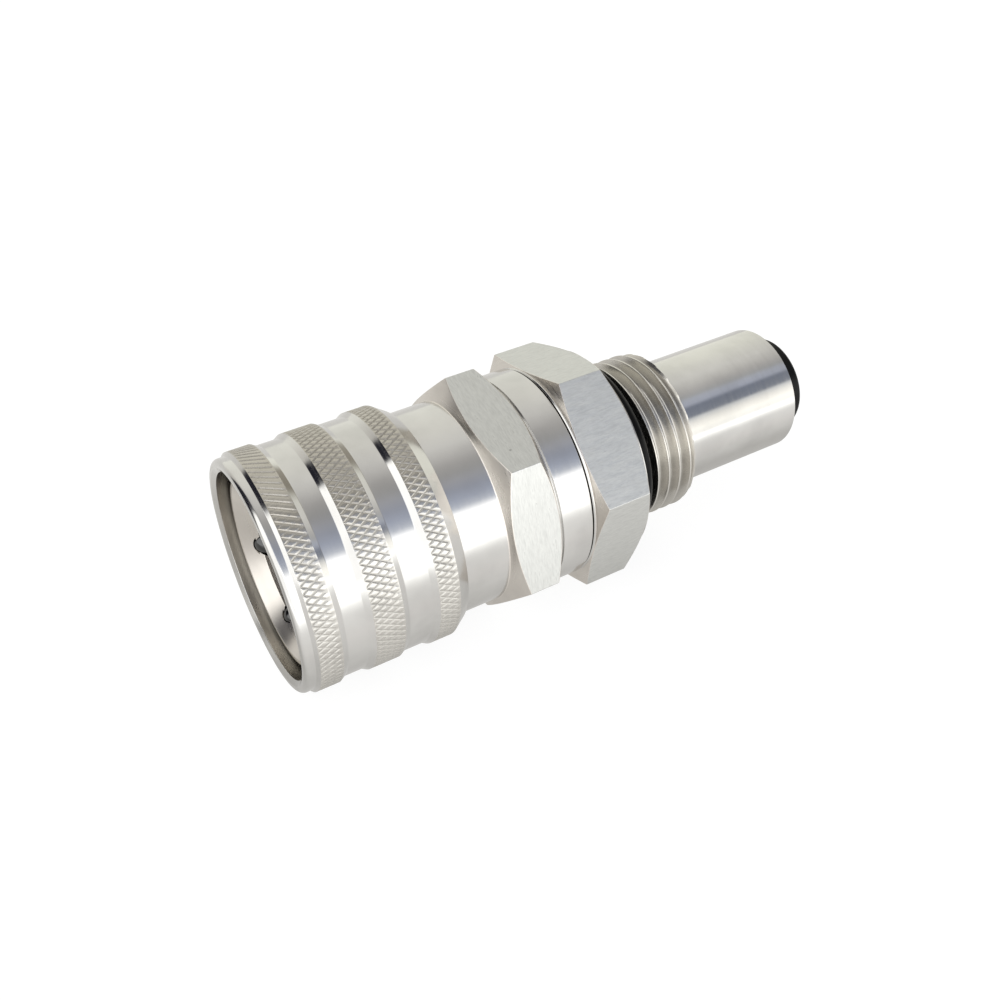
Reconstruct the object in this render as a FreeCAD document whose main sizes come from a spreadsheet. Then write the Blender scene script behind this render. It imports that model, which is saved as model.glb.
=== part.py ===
# Ball-lock quick-disconnect socket for a beer line, lying on its side.
#
# The axis runs along +X, from the plug's mouth to the collet that grips the beer line. +Z is up.
# Stations are measured along the axis from the face of the nose, and every piece is then moved back
# by its Placement, so that the origin lies halfway along the bore that guides the plug.
# Angles about the axis are measured from straight up, turning towards -Y. Lengths are millimetres.

import FreeCAD, Part
import math
import os
import types

import Sketcher

DRIVING_SIZES = [
    # mouth and bore for the plug
    ("guide_radius", "9.65"),
    ("guide_length", "4.0"),
    ("guide_rest_length", "1.2"),
    ("mouth_gap", "0.2"),
    ("mouth_lead", "0.45"),
    ("plug_step", "2.45"),
    ("throat_length", "1.6"),
    ("chamber_radius", "9.4"),
    # outside of the socket body
    ("nose_wall", "3.25"),
    ("nose_chamfer", "0.4"),
    ("spring_room", "1.2"),
    ("barrel_land", "1.65"),
    ("hex_rise", "0.9"),
    ("hex_clearance", "3.57"),
    ("body_hex_front_bevel", "1.55"),
    ("body_hex_length", "4.14"),
    ("body_hex_rear_bevel", "1.51"),
    ("body_hex_turn", "45"),
    ("hex_land_drop", "0.05"),
    ("shank_drop", "0.1"),
    ("shank_length", "4.55"),
    ("shank_groove_depth", "0.3"),
    ("shank_groove_width", "0.3"),
    ("shank_groove_gap", "0.1"),
    ("shank_edge", "0.15"),
    ("shank_wall", "3.3"),
    ("shank_bore_bevel", "0.4"),
    ("spigot_depth", "9.3"),
    # locking balls and the sleeve's travel
    ("ball_radius", "1.9"),
    ("ball_station", "3.2"),
    ("ball_turn", "10"),
    ("ball_travel", "0.65"),
    ("ball_hole_gap", "0.08"),
    ("ball_lip_narrowing", "0.15"),
    ("ball_lip_gap", "0.03"),
    ("ball_wall", "0.42"),
    ("sleeve_travel", "2.9"),
    # locking sleeve
    ("rim_ahead", "1.75"),
    ("rim_lip", "0.65"),
    ("rim_lip_length", "0.45"),
    ("rim_round", "0.7"),
    ("sleeve_wall", "1.45"),
    ("sleeve_end_wall", "0.7"),
    ("knurl_height", "0.45"),
    ("collar_length", "1.39"),
    ("front_bevel", "0.42"),
    ("groove_bevel", "0.79"),
    ("front_band_length", "3.04"),
    ("front_groove_length", "2.7"),
    ("middle_band_length", "3.98"),
    ("rear_groove_length", "3.16"),
    ("rear_band_length", "2.83"),
    ("rear_bevel", "1.75"),
    ("relief_gap", "0.45"),
    ("land_gap", "0.05"),
    ("land_length", "2.2"),
    ("land_ahead", "0.1"),
    ("cam_length", "1.0"),
    ("sleeve_bore_gap", "0.1"),
    ("sleeve_bore_bevel", "0.2"),
    # ring on which the sleeve turns
    ("ring_inset", "4.67"),
    ("ring_width", "1.0"),
    ("ring_hold", "0.65"),
    ("ring_reach", "0.8"),
    ("ring_gap_angle", "18"),
    ("ring_side_gap", "0.03"),
    ("ring_radial_gap", "0.05"),
    ("ring_floor_gap", "0.1"),
    # sleeve spring
    ("sleeve_wire_radius", "0.55"),
    ("sleeve_spring_turns", "4"),
    ("sleeve_spring_gap", "0.05"),
    # plug seal
    ("plug_seal_groove", "2.6"),
    ("plug_seal_depth", "1.8"),
    ("plug_seal_section", "1.1"),
    # valve
    ("valve_pin_radius", "3.0"),
    ("valve_pin_setback", "0.2"),
    ("valve_pin_chamfer", "0.5"),
    ("valve_lip_gap", "0.4"),
    ("valve_lip_width", "0.95"),
    ("valve_neck_depth", "0.7"),
    ("valve_seal_section", "0.75"),
    ("valve_seat_gap", "0.05"),
    ("valve_head_gap", "0.7"),
    ("valve_head_width", "2.4"),
    ("valve_head_bevel", "0.9"),
    ("valve_stem_radius", "2.5"),
    ("valve_travel", "4.0"),
    ("valve_boss_radius", "4.8"),
    ("valve_boss_length", "1.0"),
    ("valve_wire_radius", "0.45"),
    ("valve_wire_gap", "0.35"),
    ("valve_spring_turns", "5"),
    ("valve_spring_gap", "0.03"),
    # valve guide
    ("guide_disc_width", "2.0"),
    ("guide_disc_gap", "0.1"),
    ("guide_hub_step", "0.4"),
    ("guide_hub_rear", "1.0"),
    ("guide_stop_gap", "0.1"),
    ("guide_stem_gap", "0.05"),
    ("flow_hole_radius", "1.7"),
    ("flow_hole_inset", "1.7"),
    # rear adapter
    ("joint_gap", "0.15"),
    ("spigot_fit", "0.1"),
    ("spigot_chamfer", "0.3"),
    ("spigot_groove_start", "2.0"),
    ("spigot_groove_width", "2.2"),
    ("spigot_seal_section", "0.74"),
    ("adapter_boss", "0.25"),
    ("adapter_hex_front_bevel", "0.65"),
    ("adapter_hex_length", "6.25"),
    ("adapter_hex_rear_bevel", "1.35"),
    ("adapter_hex_face", "0.15"),
    ("adapter_hex_turn", "75"),
    ("undercut_drop", "0.19"),
    ("undercut_length", "2.9"),
    ("thread_major_radius", "11.4555"),
    ("thread_pitch", "1.814"),
    ("thread_length", "7.8"),
    ("thread_flank_angle", "27.5"),
    ("thread_first_crest", "0.76"),
    ("tube_length", "19.7"),
    ("spigot_wall", "2.0"),
    ("funnel_length", "6.5"),
    ("waterway_radius", "3.8"),
    # port seal
    ("port_seal_section", "1.2"),
    # push-in end for the beer line
    ("line_bore_radius", "4.85"),
    ("stop_length", "3.0"),
    ("stop_gap", "0.05"),
    ("line_seal_section", "1.4"),
    ("line_seal_squeeze", "0.23"),
    ("seal_spacer_width", "1.1"),
    ("seal_spacer_gap", "0.05"),
    ("seal_slack", "0.06"),
    ("washer_width", "1.2"),
    ("washer_bore_gap", "0.1"),
    ("tube_wall", "1.08"),
    ("chamber_fit", "0.02"),
    ("retainer_length", "4.1"),
    ("retainer_wall", "0.9"),
    ("retainer_cone", "0.9"),
    ("retainer_wall_cone", "0.7"),
    ("retainer_entry", "0.3"),
    ("collet_gap", "0.1"),
    ("collet_wall", "2.15"),
    ("collet_proud", "3.17"),
    ("collet_head_length", "1.8"),
    ("collet_stop_gap", "0.1"),
    ("collet_slot_width", "1.0"),
    ("collet_slot_length", "4.9"),
    ("collet_tip_round", "0.6"),
    ("collet_lead", "0.4"),
    ("collet_travel", "1.2"),
    ("grip_station", "0.8"),
    ("grip_width", "0.5"),
    ("grip_reach", "1.3"),
    ("grip_inner_gap", "0.2"),
    ("grip_side_gap", "0.05"),
    ("grip_slot_width", "0.8"),
    ("grip_tooth_length", "0.65"),
]

BALL_COUNT = 6
FLOW_HOLES = 6
COLLET_SLOTS = 6
GRIP_SLOTS = 12

# Shares of the pitch in a 55 degree pipe thread, and a hexagon's corner over its flat
THREAD_DEPTH_SHARE = 0.640327
THREAD_CREST_SHARE = 1 / 6
CORNER_OVER_FLAT = 1 / math.cos(math.radians(30))

# A cut that starts outside a piece starts this far from it, and one right through it is this long.
CUT_MARGIN = 2.0
THROUGH_LENGTH = 240.0

# A face that another cut trims stands this far past the trimmed size.
TRIM = 0.03


class Size:
    """A length or angle that knows both its sheet expression and its present value."""

    def __init__(self, text, value):
        self.text = text
        self.value = value

    def __add__(self, other):
        other = as_size(other)
        return Size(f"({self.text} + {other.text})", self.value + other.value)

    def __sub__(self, other):
        other = as_size(other)
        return Size(f"({self.text} - {other.text})", self.value - other.value)

    def __mul__(self, other):
        other = as_size(other)
        return Size(f"({self.text} * {other.text})", self.value * other.value)

    def __truediv__(self, other):
        other = as_size(other)
        return Size(f"({self.text} / {other.text})", self.value / other.value)

    def __neg__(self):
        return Size(f"(0 - {self.text})", -self.value)


def as_size(item):
    """A plain number as a Size."""
    if isinstance(item, Size):
        return item
    return Size(repr(float(item)), float(item))


def sine(angle):
    return Size(f"sin({angle.text})", math.sin(math.radians(angle.value)))


def cosine(angle):
    return Size(f"cos({angle.text})", math.cos(math.radians(angle.value)))


def tangent(angle):
    return Size(f"tan({angle.text})", math.tan(math.radians(angle.value)))


def other_leg(hypotenuse, leg):
    """The third side of a right-angled triangle."""
    length = math.sqrt(hypotenuse.value**2 - leg.value**2)
    return Size(f"sqrt({hypotenuse.text} ^ 2 - {leg.text} ^ 2)", length)


doc = FreeCAD.newDocument("BeerLineConnector")
sheet = doc.addObject("Spreadsheet::Sheet", "Sizes")
for row, (alias, number_text) in enumerate(DRIVING_SIZES, 1):
    sheet.set(f"A{row}", alias)
    sheet.set(f"B{row}", number_text)
    sheet.setAlias(f"B{row}", alias)
doc.recompute()
size = types.SimpleNamespace(
    **{alias: Size(f"Sizes.{alias}", float(text)) for alias, text in DRIVING_SIZES}
)

# Radii that follow from the driving sizes, from the plug's bore outwards
size.mouth_radius = size.guide_radius + size.mouth_gap
size.throat_radius = size.guide_radius - size.plug_step
size.nose_radius = size.guide_radius + size.nose_wall
size.barrel_radius = size.nose_radius + size.spring_room
size.across_flats = (size.barrel_radius + size.hex_rise) * 2
size.hex_land = size.across_flats / 2 - size.hex_land_drop
size.shank_radius = size.across_flats / 2 - size.shank_drop
size.spigot_bore_radius = size.shank_radius - size.shank_wall
size.spigot_radius = size.spigot_bore_radius - size.spigot_fit
size.funnel_radius = size.spigot_radius - size.spigot_wall
size.hex_corner = size.across_flats / 2 * CORNER_OVER_FLAT
size.thread_minor_radius = size.thread_major_radius - size.thread_pitch * THREAD_DEPTH_SHARE
size.thread_crest = size.thread_pitch * THREAD_CREST_SHARE
size.undercut_radius = size.thread_minor_radius - size.undercut_drop

# The sleeve's radii, from the barrel that it slides on
size.sleeve_bore = size.barrel_radius + size.sleeve_bore_gap
size.collar_radius = size.sleeve_bore + size.sleeve_wall
size.band_radius = size.collar_radius + size.knurl_height
size.sleeve_end_radius = size.sleeve_bore + size.sleeve_end_wall
size.relief_radius = size.nose_radius - size.land_gap + size.ball_travel + size.relief_gap
size.ring_outer_radius = size.sleeve_bore + size.ring_hold
size.ring_inner_radius = size.barrel_radius - size.ring_reach

# Radii of the valve and of the push-in end
size.valve_lip_radius = size.throat_radius - size.valve_lip_gap
size.valve_neck_radius = size.valve_lip_radius - size.valve_neck_depth
size.valve_head_radius = size.chamber_radius - size.valve_head_gap
size.valve_spring_radius = size.valve_boss_radius + size.valve_wire_gap + size.valve_wire_radius
size.guide_hub_radius = size.valve_boss_radius - size.guide_hub_step
size.flow_hole_circle = size.guide_hub_radius + size.flow_hole_inset + size.flow_hole_radius
size.line_seal_radius = size.line_bore_radius - size.line_seal_squeeze + size.line_seal_section
size.seal_cavity_radius = size.line_seal_radius + size.line_seal_section + size.seal_slack / 2
size.grip_outer_radius = size.line_bore_radius + size.grip_reach
size.collet_radius = size.line_bore_radius + size.collet_wall
size.collet_chamber_radius = (
    size.collet_radius + size.collet_gap + size.retainer_wall + size.chamber_fit
)
size.tube_radius = size.collet_chamber_radius + size.tube_wall

# The balls in their holes
size.ball_hole_radius = size.ball_radius + size.ball_hole_gap
size.ball_lip_radius = size.ball_radius - size.ball_lip_narrowing
size.ball_circle = size.nose_radius - size.land_gap - size.ball_radius
size.guide_start = size.ball_station + size.ball_hole_radius + size.ball_wall

# The origin of the finished part, as a station from the nose's face
origin_station = size.guide_start + size.guide_length / 2

pieces = []


def bind(thing, prop, item):
    """Ties a property of an object to the sheet."""
    thing.setExpression(prop, as_size(item).text)


def set_back(thing):
    """Moves a piece from stations along the axis into the part's frame."""
    bind(thing, "Placement.Base.x", -origin_station)


def origin_feature(body, role):
    for feature in body.Origin.OriginFeatures:
        if feature.Role == role:
            return feature
    raise RuntimeError(f"{body.Label} has no {role}")


def new_body(label):
    body = doc.addObject("PartDesign::Body", label)
    body.Label = label
    set_back(body)
    pieces.append(body)
    return body


def new_sketch(body, name, role, shift=None, turn=None):
    """A sketch on one of the body's own origin planes.

    shift moves it along its first axis, and turn then turns it about that axis.
    """
    sketch = body.newObject("Sketcher::SketchObject", name)
    sketch.AttachmentSupport = [(origin_feature(body, role), "")]
    sketch.MapMode = "FlatFace"
    if turn is not None:
        about_axis = FreeCAD.Rotation(FreeCAD.Vector(1, 0, 0), turn.value)
        sketch.AttachmentOffset = FreeCAD.Placement(FreeCAD.Vector(), about_axis)
        bind(sketch, "AttachmentOffset.Rotation.Angle", turn)
    if shift is not None:
        bind(sketch, "AttachmentOffset.Base.x", shift)
    return sketch


def arc_between(start, end, radius, turn):
    """The short arc from start to end, and which of its ends comes first anticlockwise."""
    chord = end - start
    reach = math.sqrt(max(radius**2 - chord.Length**2 / 4, 0.0))
    side = FreeCAD.Vector(-chord.y, chord.x, 0).normalize() * (reach * turn)
    centre = (start + end) * 0.5 + side
    first, last = (start, end) if turn > 0 else (end, start)
    from_angle = math.atan2(first.y - centre.y, first.x - centre.x)
    to_angle = math.atan2(last.y - centre.y, last.x - centre.x)
    if to_angle < from_angle:
        to_angle += 2 * math.pi
    circle = Part.Circle(centre, FreeCAD.Vector(0, 0, 1), radius)
    return Part.ArcOfCircle(circle, from_angle, to_angle)


def draw_outline(sketch, corners, arcs=None):
    """A closed outline through the corners, each held by two sizes from the sheet.

    arcs maps the number of a corner to (radius, turn): the side that leaves it is then an arc,
    which turns left for +1 and right for -1.
    """
    arcs = arcs or {}
    places = [(as_size(x), as_size(y)) for x, y in corners]
    points = [FreeCAD.Vector(x.value, y.value, 0) for x, y in places]
    offset = sketch.GeometryCount
    count = len(points)
    ends = []
    for i in range(count):
        start = points[i]
        end = points[(i + 1) % count]
        if i in arcs:
            radius, turn = arcs[i]
            sketch.addGeometry(arc_between(start, end, radius.value, turn), False)
            ends.append((1, 2) if turn > 0 else (2, 1))
        else:
            sketch.addGeometry(Part.LineSegment(start, end), False)
            ends.append((1, 2))
    for i in range(count):
        following = (i + 1) % count
        sketch.addConstraint(
            Sketcher.Constraint(
                "Coincident", offset + i, ends[i][1], offset + following, ends[following][0]
            )
        )
    for i, (x, y) in enumerate(places):
        for kind, item in (("DistanceX", x), ("DistanceY", y)):
            number = sketch.addConstraint(
                Sketcher.Constraint(kind, -1, 1, offset + i, ends[i][0], item.value)
            )
            bind(sketch, f"Constraints[{number}]", item)
    for i, (radius, _) in arcs.items():
        number = sketch.addConstraint(Sketcher.Constraint("Radius", offset + i, radius.value))
        bind(sketch, f"Constraints[{number}]", radius)


def draw_circle(sketch, x, y, radius):
    """A circle held by its centre and radius."""
    x = as_size(x)
    y = as_size(y)
    centre = FreeCAD.Vector(x.value, y.value, 0)
    circle = Part.Circle(centre, FreeCAD.Vector(0, 0, 1), radius.value)
    index = sketch.addGeometry(circle, False)
    for kind, item in (("DistanceX", x), ("DistanceY", y)):
        number = sketch.addConstraint(Sketcher.Constraint(kind, -1, 1, index, 3, item.value))
        bind(sketch, f"Constraints[{number}]", item)
    number = sketch.addConstraint(Sketcher.Constraint("Radius", index, radius.value))
    bind(sketch, f"Constraints[{number}]", radius)


def revolve(body, name, sketch, sweep=360):
    feature = body.newObject("PartDesign::Revolution", name)
    feature.Profile = sketch
    feature.ReferenceAxis = (sketch, ["H_Axis"])
    bind(feature, "Angle", sweep)
    doc.recompute()
    return feature


def must_remove(body, before, name):
    """A cut that points the wrong way removes nothing and shows no error."""
    doc.recompute()
    if not body.Shape.Volume < before:
        raise RuntimeError(f"{name} of {body.Label} removes nothing")


def turned(label, corners, arcs=None, sweep=360):
    """A piece turned on a lathe: its half section, swept about the axis."""
    body = new_body(label)
    sketch = new_sketch(body, label + "_section", "XZ_Plane")
    draw_outline(sketch, corners, arcs)
    revolve(body, label + "_turned", sketch, sweep)
    return body


def cut_across(body, name, sketch, length, reverse=False, both_ways=False):
    """A pocket along the sketch's normal, which has to remove something."""
    before = body.Shape.Volume
    feature = body.newObject("PartDesign::Pocket", name)
    feature.Profile = sketch
    feature.Type = "Length"
    bind(feature, "Length", length)
    feature.Midplane = both_ways
    feature.Reversed = reverse
    must_remove(body, before, name)
    return feature


def repeat_round(body, name, feature, count):
    """Copies of a feature, evenly spaced about the axis."""
    before = body.Shape.Volume
    pattern = body.newObject("PartDesign::PolarPattern", name)
    pattern.Originals = [feature]
    pattern.Axis = (origin_feature(body, "X_Axis"), [""])
    pattern.Angle = 360
    pattern.Occurrences = count
    body.Tip = pattern
    must_remove(body, before, name)


def on_circle(radius, angle):
    """Y and Z of a point at this angle from straight up, turning towards -Y."""
    return -(sine(angle) * radius), cosine(angle) * radius


def mill_hexagon(body, name, turn):
    """Mills six flats wherever the piece stands out past them."""
    sketch = new_sketch(body, name + "_section", "YZ_Plane")
    corners = [on_circle(size.hex_corner, turn + 60 * i) for i in range(6)]
    draw_outline(sketch, corners)
    draw_circle(sketch, 0, 0, size.across_flats)
    cut_across(body, name, sketch, THROUGH_LENGTH, both_ways=True)


def o_ring(label, station, mean_radius, section):
    """A round-section ring about the axis."""
    ring = doc.addObject("Part::Torus", label)
    ring.Label = label
    turn_to_axis = FreeCAD.Rotation(FreeCAD.Vector(0, 1, 0), 90)
    ring.Placement = FreeCAD.Placement(FreeCAD.Vector(), turn_to_axis)
    bind(ring, "Radius1", mean_radius)
    bind(ring, "Radius2", section)
    bind(ring, "Placement.Base.x", station - origin_station)
    pieces.append(ring)
    return ring


def coil_spring(label, start, end, mean_radius, wire, turns):
    """A round wire wound about the axis, between two faces."""
    body = new_body(label)
    sketch = new_sketch(body, label + "_wire", "XZ_Plane")
    draw_circle(sketch, start + wire, mean_radius, wire)
    coil = body.newObject("PartDesign::AdditiveHelix", label + "_coil")
    coil.Profile = sketch
    coil.ReferenceAxis = (sketch, ["H_Axis"])
    coil.Mode = "height-turns-angle"
    bind(coil, "Height", end - start - wire * 2)
    bind(coil, "Turns", turns)
    doc.recompute()
    return body


# Stations of the sleeve, from its rim backwards
sleeve_front = -size.rim_ahead
band_1 = sleeve_front + size.collar_length + size.front_bevel
band_1_end = band_1 + size.front_band_length
groove_1 = band_1_end + size.groove_bevel
groove_1_end = groove_1 + size.front_groove_length
band_2 = groove_1_end + size.groove_bevel
band_2_end = band_2 + size.middle_band_length
groove_2 = band_2_end + size.groove_bevel
groove_2_end = groove_2 + size.rear_groove_length
band_3 = groove_2_end + size.groove_bevel
band_3_end = band_3 + size.rear_band_length
sleeve_rear = band_3_end + size.rear_bevel
land_front = size.ball_station - size.land_ahead
land_rear = land_front + size.land_length

# Stations of the ring and of its long groove in the barrel
ring_start = sleeve_rear - size.ring_inset
ring_end = ring_start + size.ring_width
ring_groove_front = ring_start - size.land_gap
ring_groove_rear = ring_end + size.sleeve_travel + size.land_gap
ring_groove_floor = size.ring_inner_radius - size.ring_floor_gap
barrel_start = ring_groove_front - size.barrel_land

# Stations of the body, from its nose backwards
corner_reach = size.hex_corner + TRIM
guide_end = size.guide_start + size.guide_length
seal_groove_end = guide_end + size.plug_seal_groove
plug_stop = seal_groove_end + size.guide_rest_length
throat_end = plug_stop + size.throat_length
seat_end = throat_end + (size.chamber_radius - size.throat_radius)
plug_seal_floor = size.guide_radius + size.plug_seal_depth
body_hex_front = sleeve_rear + size.sleeve_travel + size.hex_clearance
body_hex_corner = body_hex_front + size.body_hex_front_bevel
body_hex_corner_end = body_hex_corner + size.body_hex_length
body_hex_end = body_hex_corner_end + size.body_hex_rear_bevel
shank_groove_start = body_hex_end + size.shank_groove_gap
shank_start = shank_groove_start + size.shank_groove_width
body_end = shank_start + size.shank_length
chamber_end = body_end - size.spigot_depth


def make_socket_body():
    lead_radius = size.mouth_radius + size.mouth_lead
    groove_floor = size.shank_radius - size.shank_groove_depth
    body = turned(
        "socket_body",
        [
            (0, lead_radius),
            (0, size.nose_radius - size.nose_chamfer),
            (size.nose_chamfer, size.nose_radius),
            (barrel_start, size.nose_radius),
            (barrel_start, size.barrel_radius),
            (ring_groove_front, size.barrel_radius),
            (ring_groove_front, ring_groove_floor),
            (ring_groove_rear, ring_groove_floor),
            (ring_groove_rear, size.barrel_radius),
            (body_hex_front, size.barrel_radius),
            (body_hex_corner, corner_reach),
            (body_hex_corner_end, corner_reach),
            (body_hex_end, size.hex_land),
            (shank_groove_start, size.hex_land),
            (shank_groove_start, groove_floor),
            (shank_start, groove_floor),
            (shank_start, size.shank_radius),
            (body_end - size.shank_edge, size.shank_radius),
            (body_end, size.shank_radius - size.shank_edge),
            (body_end, size.spigot_bore_radius + size.shank_bore_bevel),
            (body_end - size.shank_bore_bevel, size.spigot_bore_radius),
            (chamber_end, size.spigot_bore_radius),
            (chamber_end, size.chamber_radius),
            (seat_end, size.chamber_radius),
            (throat_end, size.throat_radius),
            (plug_stop, size.throat_radius),
            (plug_stop, size.guide_radius),
            (seal_groove_end, size.guide_radius),
            (seal_groove_end, plug_seal_floor),
            (guide_end, plug_seal_floor),
            (guide_end, size.guide_radius),
            (size.guide_start, size.guide_radius),
            (size.guide_start - (size.mouth_radius - size.guide_radius), size.mouth_radius),
            (size.mouth_lead, size.mouth_radius),
        ],
    )
    mill_hexagon(body, "body_flats", size.body_hex_turn)
    drill_ball_holes(body)
    return body


def drill_ball_holes(body):
    """Radial holes with a lip at the bore, so that no ball falls inwards."""
    lip_drop = other_leg(size.ball_radius, size.ball_lip_radius)
    lip_top = size.ball_circle - lip_drop - size.ball_lip_gap
    below_bore = size.guide_radius - CUT_MARGIN
    above_nose = size.barrel_radius + CUT_MARGIN
    sketch = new_sketch(
        body, "ball_hole_section", "XZ_Plane", shift=size.ball_station, turn=size.ball_turn
    )
    draw_outline(
        sketch,
        [
            (0, below_bore),
            (size.ball_lip_radius, below_bore),
            (size.ball_lip_radius, lip_top),
            (size.ball_hole_radius, lip_top),
            (size.ball_hole_radius, above_nose),
            (0, above_nose),
        ],
    )
    before = body.Shape.Volume
    hole = body.newObject("PartDesign::Groove", "ball_hole")
    hole.Profile = sketch
    hole.ReferenceAxis = (sketch, ["V_Axis"])
    hole.Angle = 360
    must_remove(body, before, "ball_hole")
    repeat_round(body, "ball_holes", hole, BALL_COUNT)


def make_sleeve():
    bore = size.sleeve_bore
    bore_bevel = size.sleeve_bore_bevel
    land_radius = size.nose_radius + size.land_gap
    groove_front = ring_start - size.ring_side_gap
    groove_rear = ring_end + size.ring_side_gap
    groove_floor = size.ring_outer_radius + size.ring_radial_gap
    return turned(
        "locking_sleeve",
        [
            (sleeve_front, size.relief_radius + size.rim_lip),
            (sleeve_front, size.collar_radius - size.rim_round),
            (sleeve_front + size.rim_round, size.collar_radius),
            (sleeve_front + size.collar_length, size.collar_radius),
            (band_1, size.band_radius),
            (band_1_end, size.band_radius),
            (groove_1, size.collar_radius),
            (groove_1_end, size.collar_radius),
            (band_2, size.band_radius),
            (band_2_end, size.band_radius),
            (groove_2, size.collar_radius),
            (groove_2_end, size.collar_radius),
            (band_3, size.band_radius),
            (band_3_end, size.band_radius),
            (sleeve_rear, size.sleeve_end_radius),
            (sleeve_rear, bore + bore_bevel),
            (sleeve_rear - bore_bevel, bore),
            (groove_rear, bore),
            (groove_rear, groove_floor),
            (groove_front, groove_floor),
            (groove_front, bore),
            (land_rear, bore),
            (land_rear, land_radius),
            (land_front, land_radius),
            (land_front - size.cam_length, size.relief_radius),
            (sleeve_front + size.rim_lip_length, size.relief_radius),
        ],
        arcs={1: (size.rim_round, -1)},
    )


def make_retaining_ring():
    return turned(
        "sleeve_retaining_ring",
        [
            (ring_start, size.ring_inner_radius),
            (ring_start, size.ring_outer_radius),
            (ring_end, size.ring_outer_radius),
            (ring_end, size.ring_inner_radius),
        ],
        sweep=as_size(360) - size.ring_gap_angle,
    )


def make_sleeve_spring():
    return coil_spring(
        "sleeve_spring",
        land_rear + size.sleeve_spring_gap,
        barrel_start - size.sleeve_spring_gap,
        (size.nose_radius + size.sleeve_bore) / 2,
        size.sleeve_wire_radius,
        size.sleeve_spring_turns,
    )


def make_balls():
    for index in range(BALL_COUNT):
        angle = size.ball_turn + 360 / BALL_COUNT * index
        ball = doc.addObject("Part::Sphere", f"locking_ball_{index + 1}")
        ball.Label = f"locking_ball_{index + 1}"
        y, z = on_circle(size.ball_circle, angle)
        bind(ball, "Radius", size.ball_radius)
        bind(ball, "Placement.Base.x", size.ball_station - origin_station)
        bind(ball, "Placement.Base.y", y)
        bind(ball, "Placement.Base.z", z)
        pieces.append(ball)


def make_plug_seal():
    return o_ring(
        "plug_seal",
        guide_end + size.plug_seal_groove / 2,
        plug_seal_floor - size.seal_slack / 2 - size.plug_seal_section,
        size.plug_seal_section,
    )


# The valve's seal touches the conical seat at 45 degrees, so its station follows from the cone.
valve_seal_radius = size.valve_neck_radius + size.valve_seal_section
valve_seal_station = (
    throat_end
    + (size.valve_seal_section + size.valve_seat_gap) * math.sqrt(2)
    + valve_seal_radius
    - size.throat_radius
)
valve_head_front = valve_seal_station + size.valve_seal_section + size.valve_spring_gap
valve_head_rear = valve_head_front + size.valve_head_width
valve_boss_end = valve_head_rear + size.valve_boss_length

# The hub of the guide stops the boss of the poppet at the end of its travel.
guide_hub_start = valve_boss_end + size.valve_travel + size.guide_stop_gap
guide_hub_end = chamber_end + size.guide_disc_width + size.guide_hub_rear


def make_valve():
    lip_rear = valve_seal_station - size.valve_seal_section - size.valve_spring_gap
    lip_front = lip_rear - size.valve_lip_width
    pin_start = guide_end + size.valve_pin_setback
    turned(
        "valve_poppet",
        [
            (pin_start, 0),
            (pin_start, size.valve_pin_radius - size.valve_pin_chamfer),
            (pin_start + size.valve_pin_chamfer, size.valve_pin_radius),
            (lip_front, size.valve_pin_radius),
            (lip_front, size.valve_lip_radius),
            (lip_rear, size.valve_lip_radius),
            (lip_rear, size.valve_neck_radius),
            (valve_head_front, size.valve_neck_radius),
            (valve_head_front, size.valve_head_radius - size.valve_head_bevel),
            (valve_head_front + size.valve_head_bevel, size.valve_head_radius),
            (valve_head_rear, size.valve_head_radius),
            (valve_head_rear, size.valve_boss_radius),
            (valve_boss_end, size.valve_boss_radius),
            (valve_boss_end, size.valve_stem_radius),
            (guide_hub_end, size.valve_stem_radius),
            (guide_hub_end, 0),
        ],
    )
    o_ring("valve_seal", valve_seal_station, valve_seal_radius, size.valve_seal_section)
    coil_spring(
        "valve_spring",
        valve_head_rear + size.valve_spring_gap,
        chamber_end - size.valve_spring_gap,
        size.valve_spring_radius,
        size.valve_wire_radius,
        size.valve_spring_turns,
    )


def make_valve_guide():
    front = chamber_end
    rear = front + size.guide_disc_width
    bore = size.valve_stem_radius + size.guide_stem_gap
    guide = turned(
        "valve_guide",
        [
            (guide_hub_start, bore),
            (guide_hub_start, size.guide_hub_radius),
            (front, size.guide_hub_radius),
            (front, size.spigot_bore_radius - size.guide_disc_gap),
            (rear, size.spigot_bore_radius - size.guide_disc_gap),
            (rear, size.guide_hub_radius),
            (guide_hub_end, size.guide_hub_radius),
            (guide_hub_end, bore),
        ],
    )
    sketch = new_sketch(guide, "flow_hole_section", "YZ_Plane")
    draw_circle(sketch, 0, size.flow_hole_circle, size.flow_hole_radius)
    hole = cut_across(guide, "flow_hole", sketch, THROUGH_LENGTH, both_ways=True)
    repeat_round(guide, "flow_holes", hole, FLOW_HOLES)


# Stations of the rear adapter
spigot_front = chamber_end + size.guide_disc_width
spigot_groove = spigot_front + size.spigot_groove_start
spigot_groove_end = spigot_groove + size.spigot_groove_width
spigot_seal_radius = size.spigot_bore_radius - size.seal_slack / 2 - size.spigot_seal_section
spigot_groove_floor = spigot_seal_radius - size.spigot_seal_section - size.seal_slack / 2
adapter_front = body_end + size.joint_gap
adapter_hex_front = adapter_front + size.adapter_boss
adapter_hex_corner = adapter_hex_front + size.adapter_hex_front_bevel
adapter_hex_corner_end = adapter_hex_corner + size.adapter_hex_length
adapter_hex_end = adapter_hex_corner_end + size.adapter_hex_rear_bevel
port_face = adapter_hex_end + size.adapter_hex_face
thread_start = port_face + size.undercut_length
thread_end = thread_start + size.thread_length
tube_end = thread_end + size.tube_length

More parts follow.
